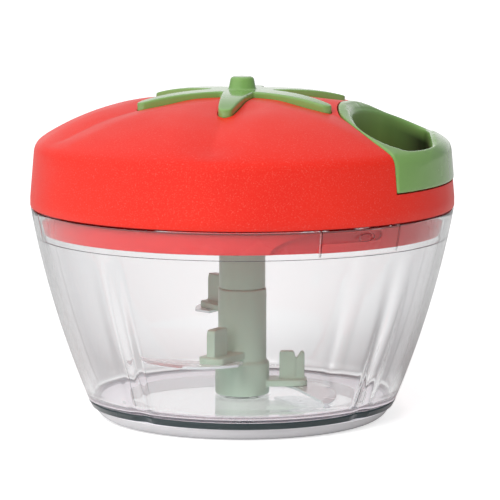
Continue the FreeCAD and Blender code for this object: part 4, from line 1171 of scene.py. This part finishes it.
# %% Ovals at the lugs
OVAL_SHAPE = (1.2, 2.8, 1.6)
for bearing in LUG_BEARINGS:
    x, y = bearing_spot(bowl_radius(LUG_HEIGHT), bearing)
    nothing_selected()
    bpy.ops.mesh.primitive_torus_add(
        major_segments=48, minor_segments=8, major_radius=1 * MM, minor_radius=0.2 * MM,
        location=mm(x, y, LUG_HEIGHT), rotation=(0, math.radians(90) + lean, math.radians(bearing - 90)))
    oval = bpy.context.object
    oval.scale = OVAL_SHAPE
    bpy.ops.object.transform_apply()
    boolean(bowl, oval)
finish_piece(bowl, made["clear_bowl"], "base", ["bowl"], 28)

# %% [markdown]
# A dark soft band runs round the bottom of the bowl, bonded to it with a hair of overlap, and the
# bowl stands on a milky foot ring with a rounded outside.

# %% Band and foot
BAND_OVERLAP = 0.06
band_bottom, band_top = bowl_radius(BOWL_BOTTOM), bowl_radius(WALL_FOOT)
band = turned("dark_band", [
    (band_bottom - BAND_WALL - BAND_OVERLAP, BOWL_BOTTOM), (band_bottom - 0.5, BOWL_BOTTOM),
    (band_bottom - 0.12, BOWL_BOTTOM + 0.15), (band_bottom + 0.02, BOWL_BOTTOM + 0.45),
    (band_top - 0.1, WALL_FOOT - 0.4), (band_top - 0.15, WALL_FOOT - 0.16),
    (band_top - 0.4, WALL_FOOT + BAND_OVERLAP),
    (band_top - BAND_WALL - BAND_OVERLAP, WALL_FOOT + BAND_OVERLAP)], 360, closed=True)
lobe(band)
finish_piece(band, made["base_band"], "base", ["base_band"])

foot_side = rounded_corner((42.0, 0), (45.9, 0.9), (47.5, 4.16), 3.0, 9)
foot = turned("milky_foot", [(38.2, 0.4), (38.8, 0.0), (41.0, 0.0)] + foot_side + [
    (47.45, 4.05), (47.2, 4.16), (38.2, 4.16)], closed=True)
finish_piece(foot, made["foot"], "base", ["foot_ring"])

# %% [markdown]
# Under the red lid sits a second red piece with a deck, a skirt that dips into the bowl's rim, a
# collar round the blade column and three L-shaped slots for the lugs of the bowl.

# %% Lower cover
SKIRT_BOTTOM, SKIRT_MIDDLE, DECK_BOTTOM, DECK_TOP = 60.7, 64, 66.2, 68.2
SKIRT_PLAY, SKIRT_WALL, SEAL_SEAT = 0.5, 2.2, 0.8
SEAL_BOTTOM, HUB_TOP, COLLAR_BOTTOM, LIP_TOP = 67.0, 73.0, 62.4, 71.2

def skirt_outer(height):
    return rim_bore(height) - SKIRT_PLAY

skirt_foot, seal_edge, rim_edge = [skirt_outer(z) for z in (SKIRT_BOTTOM, SEAL_BOTTOM, RIM_TOP)]
skirt_inner, under_deck = skirt_foot - SKIRT_WALL, skirt_outer(DECK_BOTTOM) - SKIRT_WALL
collar = [(7.8, DECK_BOTTOM), (9.4, DECK_BOTTOM), (9.4, COLLAR_BOTTOM + 0.25), (9.65, COLLAR_BOTTOM),
          (11.15, COLLAR_BOTTOM), (11.4, COLLAR_BOTTOM + 0.25), (11.4, DECK_BOTTOM - 0.5),
          (11.9, DECK_BOTTOM)]
skirt = [(under_deck - 0.5, DECK_BOTTOM), (under_deck, DECK_BOTTOM - 0.5), (skirt_inner, SKIRT_BOTTOM + 0.4),
         (skirt_inner + 0.35, SKIRT_BOTTOM), (skirt_foot - 0.5, SKIRT_BOTTOM),
         (skirt_foot - 0.12, SKIRT_BOTTOM + 0.15), (skirt_foot, SKIRT_BOTTOM + 0.5),
         (skirt_outer(SKIRT_MIDDLE), SKIRT_MIDDLE), (seal_edge, SEAL_BOTTOM)]
seal_groove = [(seal_edge - SEAL_SEAT, SEAL_BOTTOM), (seal_edge - SEAL_SEAT, RIM_TOP), (rim_edge, RIM_TOP),
               (rim_edge, DECK_TOP)]
lip = [(65.2, DECK_TOP), (65.4, DECK_TOP + 0.2), (65.4, LIP_TOP - 0.25), (65.15, LIP_TOP), (63.4, LIP_TOP),
       (63.2, LIP_TOP - 0.2), (63.2, DECK_TOP + 0.3), (62.9, DECK_TOP)]
hub = [(10.1, DECK_TOP), (9.8, DECK_TOP + 0.3), (9.8, HUB_TOP - 0.3), (9.5, HUB_TOP), (7.8, HUB_TOP)]
cover = turned("slotted_cover", collar + skirt + seal_groove + lip + hub, closed=True)
print("skirt is", round(2 * skirt_foot, 1), "mm across")

# %% [markdown]
# Each slot begins in a wide mouth with a curved ramp, and ends in a level channel with a round end.
# Its outline is set out in degrees round the skirt and in heights, drawn flat, stood up against the
# skirt and cut in to an even depth. The screw holes of the cover are drilled last.

# %% Slots
SLOT_DEPTH, SLOT_MIDDLE = 1.2, 24.3
SLOT_LOW, SLOT_HIGH = 63.6, 66.6
MOUTH_START, MOUTH_END, RAMP_END, CHANNEL_END = 7.6, 21.4, 21.5, 41.0
ROUND_END, CORNER_TURN, CORNER_DROP = 1.5, 1.5, 1.6
HOUSING_SPOTS = [bearing_spot(32.28, b) for b in (10, 160, 250)]
per_degree = skirt_outer(SKIRT_MIDDLE) * math.radians(1)

def slot_outline():
    """Points (distance along the skirt from the slot's middle, height)."""
    points = [(MOUTH_START, SKIRT_BOTTOM - 1), (MOUTH_START, SKIRT_BOTTOM)]
    ramp = SLOT_HIGH - SKIRT_BOTTOM
    for k in range(1, 13):
        angle = math.radians(90 * k / 12)
        points.append((RAMP_END - (RAMP_END - MOUTH_START) * math.cos(angle),
                       SKIRT_BOTTOM + ramp * math.sin(angle)))
    end, middle = CHANNEL_END - ROUND_END / per_degree, (SLOT_LOW + SLOT_HIGH) / 2
    for k in range(13):
        angle = math.radians(90 - 180 * k / 12)
        points.append((end + ROUND_END * math.cos(angle) / per_degree, middle + ROUND_END * math.sin(angle)))
    for k in range(7):
        angle = math.radians(90 + 90 * k / 6)
        points.append((MOUTH_END + CORNER_TURN * (1 + math.cos(angle)),
                       SLOT_LOW - CORNER_DROP * (1 - math.sin(angle))))
    points.append((MOUTH_END, SKIRT_BOTTOM - 1))
    radius = skirt_outer(SKIRT_MIDDLE)
    return [(radius * math.sin(math.radians(b - SLOT_MIDDLE)), z) for b, z in points]

tool = drawn("slot", slot_outline(), -20, 20)
for vertex in tool.data.vertices:
    x, height, depth = vertex.co
    vertex.co = (x, depth - 60 * MM, height)
face_outwards(tool)
low, high = SKIRT_BOTTOM - 2, SEAL_BOTTOM - 0.2
ring = turned("slot_floor", [(skirt_outer(low) - SLOT_DEPTH, low), (75, low), (75, high),
                             (skirt_outer(high) - SLOT_DEPTH, high)], closed=True)
boolean(tool, ring, "INTERSECT")
for k in range(3):
    cutter = copied(tool, "cutter")
    for vertex in cutter.data.vertices:
        place = turned_about_z([(vertex.co.x, vertex.co.y)], 90 + SLOT_MIDDLE + 120 * k)[0]
        vertex.co.x, vertex.co.y = place
    boolean(cover, cutter)
bpy.data.objects.remove(tool)
for spot in POST_SPOTS + HOUSING_SPOTS:
    boolean(cover, rod("hole", SCREW_RADIUS, 60, 12, spot, 24))
finish_piece(cover, made["red_inner"], "lid", ["lower_cover"], 30)

# %% [markdown]
# The seal is a soft ring with a rounded lip that reaches over the skirt towards the rim of the bowl.
# Its section is given as (how far inside the lip's edge, height).

# %% Seal
SEAL_LIP, SEAL_INNER = 0.2, 0.98
SEAL_SECTION = [(SEAL_INNER, 67.02), (0.45, 67.02), (0.15, 67.12), (0.03, 67.3), (0, 67.45), (0.03, 67.6),
                (0.15, 67.78), (0.45, 67.88), (SEAL_INNER, 67.88)]
seal_reach = seal_edge + SEAL_LIP
seal = turned("lip_seal", [(seal_reach - inwards, z) for inwards, z in SEAL_SECTION], closed=True)
finish_piece(seal, made["red_seal"], "lid", ["seal_ring"], 45)

# %% [markdown]
# The blade column is one moulding: a stem with a wider foot, three flat arms and a fin on each arm.
# A fin is a thick block. The lowest, which the photograph shows from the side, ends in a thinner
# prong with a notch before it. The stem is turned, the arms and fins are drawn and extruded, all are
# joined, and then the edges are softened as on the calyx.

# %% Blade column
COLUMN_BOTTOM, FOOT_REACH, STEM_RADIUS, STEM_TOP = 7.7, 8.7, 7.75, 41.8
NECK_RADIUS, NECK_TOP, BORE = 6.15, 47.6, 3
ARMS = {"lower": (90.0, 12.53), "middle": (-30.0, 21.9), "upper": (210.0, 35.3)}
ARM_REACH, ARM_WIDTH, ARM_THICKNESS, FIN_HEIGHT = 20.8, 9.0, 2.1, 8.8
BLOCK_HALF, PRONG_HALF, FIN_START, FIN_END = 1.5, 1.2, 11.95, 20.0

def box_points(near, far, half, corner):
    """A rectangle from near to far with rounded corners at the far end."""
    right = quarter(corner, (far - corner, corner - half), -90, 4)
    left = quarter(corner, (far - corner, half - corner), 0, 4)
    return [(near, -half)] + right + left + [(near, half)]

def upright(name, outline, half, bearing):
    """A plate drawn in its side view, as (distance from the axis, height), that stands along a bearing."""
    plate = drawn(name, outline, -half, 2 * half)
    for vertex in plate.data.vertices:
        u, v, w = vertex.co / MM
        x, y = turned_about_z([(u, w)], bearing)[0]
        vertex.co = mm(x, y, v)
    return face_outwards(plate)

column = turned("blade_column_moulding", [
    (7.6, COLUMN_BOTTOM), (8.3, COLUMN_BOTTOM), (8.6, COLUMN_BOTTOM + 0.15),
    (FOOT_REACH, COLUMN_BOTTOM + 0.5), (FOOT_REACH, 17.6), (8.5, 18.2), (7.9, 18.5), (STEM_RADIUS, 18.8),
    (STEM_RADIUS, STEM_TOP - 0.35), (7.5, STEM_TOP), (NECK_RADIUS, STEM_TOP), (NECK_RADIUS, NECK_TOP),
    (BORE, NECK_TOP)], 96)
for bearing, top in ARMS.values():
    flat = drawn("arm", turned_about_z(box_points(2, ARM_REACH, ARM_WIDTH / 2, 2.0), bearing),
                 top - ARM_THICKNESS, ARM_THICKNESS)
    boolean(column, flat, "UNION")
    crest, notched = top + FIN_HEIGHT, bearing == ARMS["lower"][0]
    far = 17.0 if notched else FIN_END
    block = [(FIN_START, top - 1), (far, top - 1), (far, crest - 2.2), (far - 0.25, crest - 0.5),
             (far - 0.8, crest), (12.6, crest), (12.1, crest - 0.3), (FIN_START, crest - 0.8)]
    boolean(column, upright("block", block, BLOCK_HALF, bearing), "UNION")
    if notched:
        prong = [(16.6, top - 1), (FIN_END, top - 1), (FIN_END, crest - 0.7), (19.7, crest - 0.15),
                 (19.2, crest), (18.75, crest - 0.2), (17.35, crest - 2.5), (16.6, crest - 2.5)]
        boolean(column, upright("prong", prong, PRONG_HALF, bearing), "UNION")
boolean(column, rod("socket", 5.02, COLUMN_BOTTOM - 1, 17, segments=64))
moulded(column, 0.3, 4)
finish_piece(column, made["sage"], "blade_unit", ["blade_column"], 60)

# %% [markdown]
# The upper part of the column is a separate tube that plugs over the stem. Its hexagon socket takes
# the drive shaft of the lid.

# %% Column tube
TUBE_RADIUS, TUBE_TOP, PLUG_RADIUS, PLUG_TOP = 7.4, 64.6, 6.2, 47.8
sleeve = turned("column_tube", [
    (BORE, PLUG_TOP), (PLUG_RADIUS, PLUG_TOP), (PLUG_RADIUS, STEM_TOP), (7.1, STEM_TOP),
    (7.32, STEM_TOP + 0.1), (TUBE_RADIUS, STEM_TOP + 0.35), (TUBE_RADIUS, TUBE_TOP - 0.4),
    (7.3, TUBE_TOP - 0.1), (7.0, TUBE_TOP), (BORE, TUBE_TOP)], 96)
boolean(sleeve, rod("hexagon", 4.92, 51.6, 20, segments=6))
finish_piece(sleeve, made["sage"], "blade_unit", ["column_sleeve"], 40)

# %% [markdown]
# The column turns on a steel pin that stands in the floor of the bowl. A plain bush in its foot runs
# on the pin.

# %% Bush and pin
bush = turned("pin_bush", [(2.35, 9.0), (4.7, 9.0), (5.0, 9.3), (5.0, 23.4), (4.7, 23.7), (2.35, 23.7),
                           (2.05, 23.4), (2.05, 9.3)], 64, closed=True)
finish_piece(bush, made["white_plastic"], "blade_unit", ["column_bush"], 40)

pin = turned("spindle", [(1.0, 5.1), (2.0, 5.1), (2.0, 22.4), (1.9, 22.7), (1.55, 23.05), (0.8, 23.1)], 48)
finish_piece(pin, made["screw_steel"], "base", ["spindle_pin"], 40)

# %% [markdown]
# Parts that are plain machined shapes keep their exact CAD form. Each is copied, its doubled
# vertices are merged, and a fine bevel is put on its edges, because only rounded edges catch light.

# %% Blades
DOUBLED, FLAT = 0.002, 0.5

def dressed(node, name, material, body, width, angle=35):
    """A merged and bevelled copy of a CAD node."""
    piece = copied(frame["nodes"][node], name)
    piece.parent = None
    piece.matrix_world = frame["nodes"][node].matrix_world.copy()
    only(piece)
    bpy.ops.object.mode_set(mode="EDIT")
    bpy.ops.mesh.select_all(action="SELECT")
    bpy.ops.mesh.remove_doubles(threshold=DOUBLED * MM)
    bpy.ops.mesh.dissolve_limited(angle_limit=math.radians(FLAT))
    bpy.ops.mesh.normals_make_consistent(inside=False)
    bpy.ops.object.mode_set(mode="OBJECT")
    for edge in piece.data.edges:
        edge.use_edge_sharp = False
    if width:
        bevel = piece.modifiers.new("fine_bevel", "BEVEL")
        bevel.width = width * MM
        bevel.segments = 2
        bevel.limit_method = "ANGLE"
        bevel.angle_limit = math.radians(angle)
        bevel.harden_normals = False
        bpy.ops.object.modifier_apply(modifier=bevel.name)
    finish_piece(piece, made[material], body, [node], angle)

for level in ARMS:
    dressed("blade_" + level, level + "_blade", "steel", "blade_unit", 0.07, 12)

# %% [markdown]
# Inside the lid: the cup that holds the reel, the reel with its cap and pawls, the flat spring, the
# drive shaft and ratchet, bushes and screws. They are seen when the lid is lifted or taken apart.
# Each row gives the CAD node, the piece's name, its finish, its body and the bevel in millimetres.

# %% Parts inside the lid
INSIDE = [
    ("reel_housing", "reel_cup", "grey_plastic", "lid", 0.3),
    ("spring_arbor", "spring_core", "white_plastic", "lid", 0.15),
    ("cord_eyelet", "cord_guide", "screw_steel", "lid", 0.2),
    ("shaft_bush", "brass_bearing", "brass_bush", "lid", 0.25),
    ("return_spring", "flat_spring", "spring_steel", "lid", 0.0),
    ("cover_screws", "long_screws", "screw_steel", "lid", 0.15),
    ("housing_screws", "short_screws", "screw_steel", "lid", 0.15),
    ("drive_shaft", "hexagon_shaft", "white_plastic", "drive", 0.25),
    ("ratchet_wheel", "ratchet", "white_plastic", "drive", 0.15),
    ("axle_clip", "spring_clip", "screw_steel", "drive", 0.12),
    ("cord_reel", "reel", "white_plastic", "reel", 0.25),
    ("reel_cap", "reel_lid", "white_plastic", "reel", 0.2),
    ("pawl_pins", "pivot_pins", "screw_steel", "reel", 0.12),
    ("pawl_one", "near_pawl", "white_plastic", "first_pawl", 0.2),
    ("pawl_two", "far_pawl", "white_plastic", "second_pawl", 0.2),
]
for row in INSIDE:
    dressed(*row)

# %% [markdown]
# The cord is a tube along a path: small rings stand across the path and are joined by faces. Its
# surface coordinates run along and round it in millimetres, so a braid can follow every bend.

# %% Cord
CORD_RADIUS, CORD_SIDES, CORD_END = 0.58, 12, 0.6
REEL_RADIUS, REEL_DECK, HAIR = 20.0, 80.3, 0.02
TURNS, PER_TURN, PITCH = 3.45, 48, 1.17

def cord_tube(name, path):
    """A closed tube along points in millimetres. Hands back the piece and its length."""
    sides = CORD_SIDES
    mesh = bpy.data.meshes.new(name)
    piece = bpy.data.objects.new(name, mesh)
    scene.collection.objects.link(piece)
    points, length, along = [], 0.0, []
    for k, spot in enumerate(path):
        spot = Vector(spot)
        ahead = Vector(path[min(k + 1, len(path) - 1)]) - Vector(path[max(k - 1, 0)])
        ahead.normalize()
        side = ahead.cross(Vector((0, 0, 1))).normalized()
        rise = side.cross(ahead)
        if k:
            length += (spot - Vector(path[k - 1])).length
        along.append(length)
        swell = CORD_RADIUS * (CORD_END if k in (0, len(path) - 1) else 1.0)
        for n in range(sides):
            turn = 2 * math.pi * n / sides
            points.append((spot + side * swell * math.cos(turn) + rise * swell * math.sin(turn)) * MM)
    faces = []
    for k in range(len(path) - 1):
        for n in range(sides):
            a, b = k * sides + n, k * sides + (n + 1) % sides
            faces.append((a, b, b + sides, a + sides))
    faces.append(tuple(reversed(range(sides))))
    faces.append(tuple(range((len(path) - 1) * sides, len(path) * sides)))
    mesh.from_pydata(points, [], faces)
    uv = mesh.uv_layers.new(name="cord_run")
    for face in mesh.polygons:
        for loop in face.loop_indices:
            ring, n = divmod(mesh.loops[loop].vertex_index, sides)
            if n == 0 and face.index % sides == sides - 1 and len(face.vertices) == 4:
                n = sides
            uv.data[loop].uv = (along[ring], n / sides)
    return face_outwards(piece), length

coil, first_height = REEL_RADIUS + CORD_RADIUS + 2 * HAIR, REEL_DECK + CORD_RADIUS + HAIR
wound = []
for k in range(round(TURNS * PER_TURN) + 1):
    angle = 2 * math.pi * k / PER_TURN
    wound.append((coil * math.cos(angle), coil * math.sin(angle), first_height + PITCH * k / PER_TURN))
winding, wound_length = cord_tube("wound_cord", wound)
finish_piece(winding, made["cord"], "reel", ["cord_winding"], 60)
print("cord on the reel", round(wound_length), "mm")

# %% [markdown]
# One piece of cord runs from the reel through the eyelet to the handle. It leaves the reel on a
# tangent, bends at the eyelet and goes on along the pull. Its path is laid out with the pull as the
# first direction, and then turned to the handle's bearing. The piece stretches between the lid and
# the handle as a stand-in for the cord that unwinds.

# %% Cord to the handle
COIL_RADIUS, COIL_CLEAR = 20.65, 22.0
BEND_SPOT, BEND_RADIUS, LEAD_END = 28.0, 3.0, 37.0
touch = math.acos(COIL_RADIUS / BEND_SPOT)
tangent_spot = Vector((COIL_RADIUS * math.cos(touch), COIL_RADIUS * math.sin(touch)))
corner = Vector((BEND_SPOT, 0))
towards = (corner - tangent_spot).normalized()
begin = tangent_spot + towards * math.sqrt(COIL_CLEAR ** 2 - COIL_RADIUS ** 2)
setback = BEND_RADIUS * math.tan(math.acos(towards.x) / 2)
first = corner - towards * setback
last = corner + Vector((setback, 0))
route = [begin + (first - begin) * k / 4 for k in range(4)]
route += [Vector(p) for p in rounded_corner(begin, corner, corner + Vector((1, 0)), setback)]
route += [last + Vector((LEAD_END - last.x, 0)) * k / 14 for k in range(1, 15)]
path = [(*bearing_spot(p.x, HANDLE_BEARING, p.y), WINDING_HEIGHT) for p in route]
lead, lead_length = cord_tube("pull_cord", path)
only(lead)
bpy.ops.object.shade_smooth_by_angle(angle=math.radians(60))
lead.data.materials.append(made["cord"])
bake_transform(lead)
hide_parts("cord_lead")
print("cord to the handle", round(lead_length, 1), "mm")

# %% [markdown]
# Behind the grip the cord ends in an overhand knot, which holds it there. Its path is a trefoil: it
# goes twice round the pull's direction while it sways three times in and out.

# %% Knot of the cord
KNOT_SPOT, KNOT_SIZE, KNOT_SWAY, KNOT_STEPS = 38.5, 0.46, 0.85, 72
knot_path = []
for k in range(KNOT_STEPS + 1):
    t = 2 * math.pi * k / KNOT_STEPS
    reach = KNOT_SIZE * (2 + math.cos(3 * t))
    along = KNOT_SPOT + KNOT_SWAY * math.sin(3 * t)
    x, y = bearing_spot(along, HANDLE_BEARING, reach * math.cos(2 * t))
    knot_path.append((x, y, WINDING_HEIGHT + reach * math.sin(2 * t)))
knot, knot_length = cord_tube("knot", knot_path)
print("cord in the knot", round(knot_length, 1), "mm")
finish_piece(knot, made["cord"], "handle", ["cord_stop"], 60)
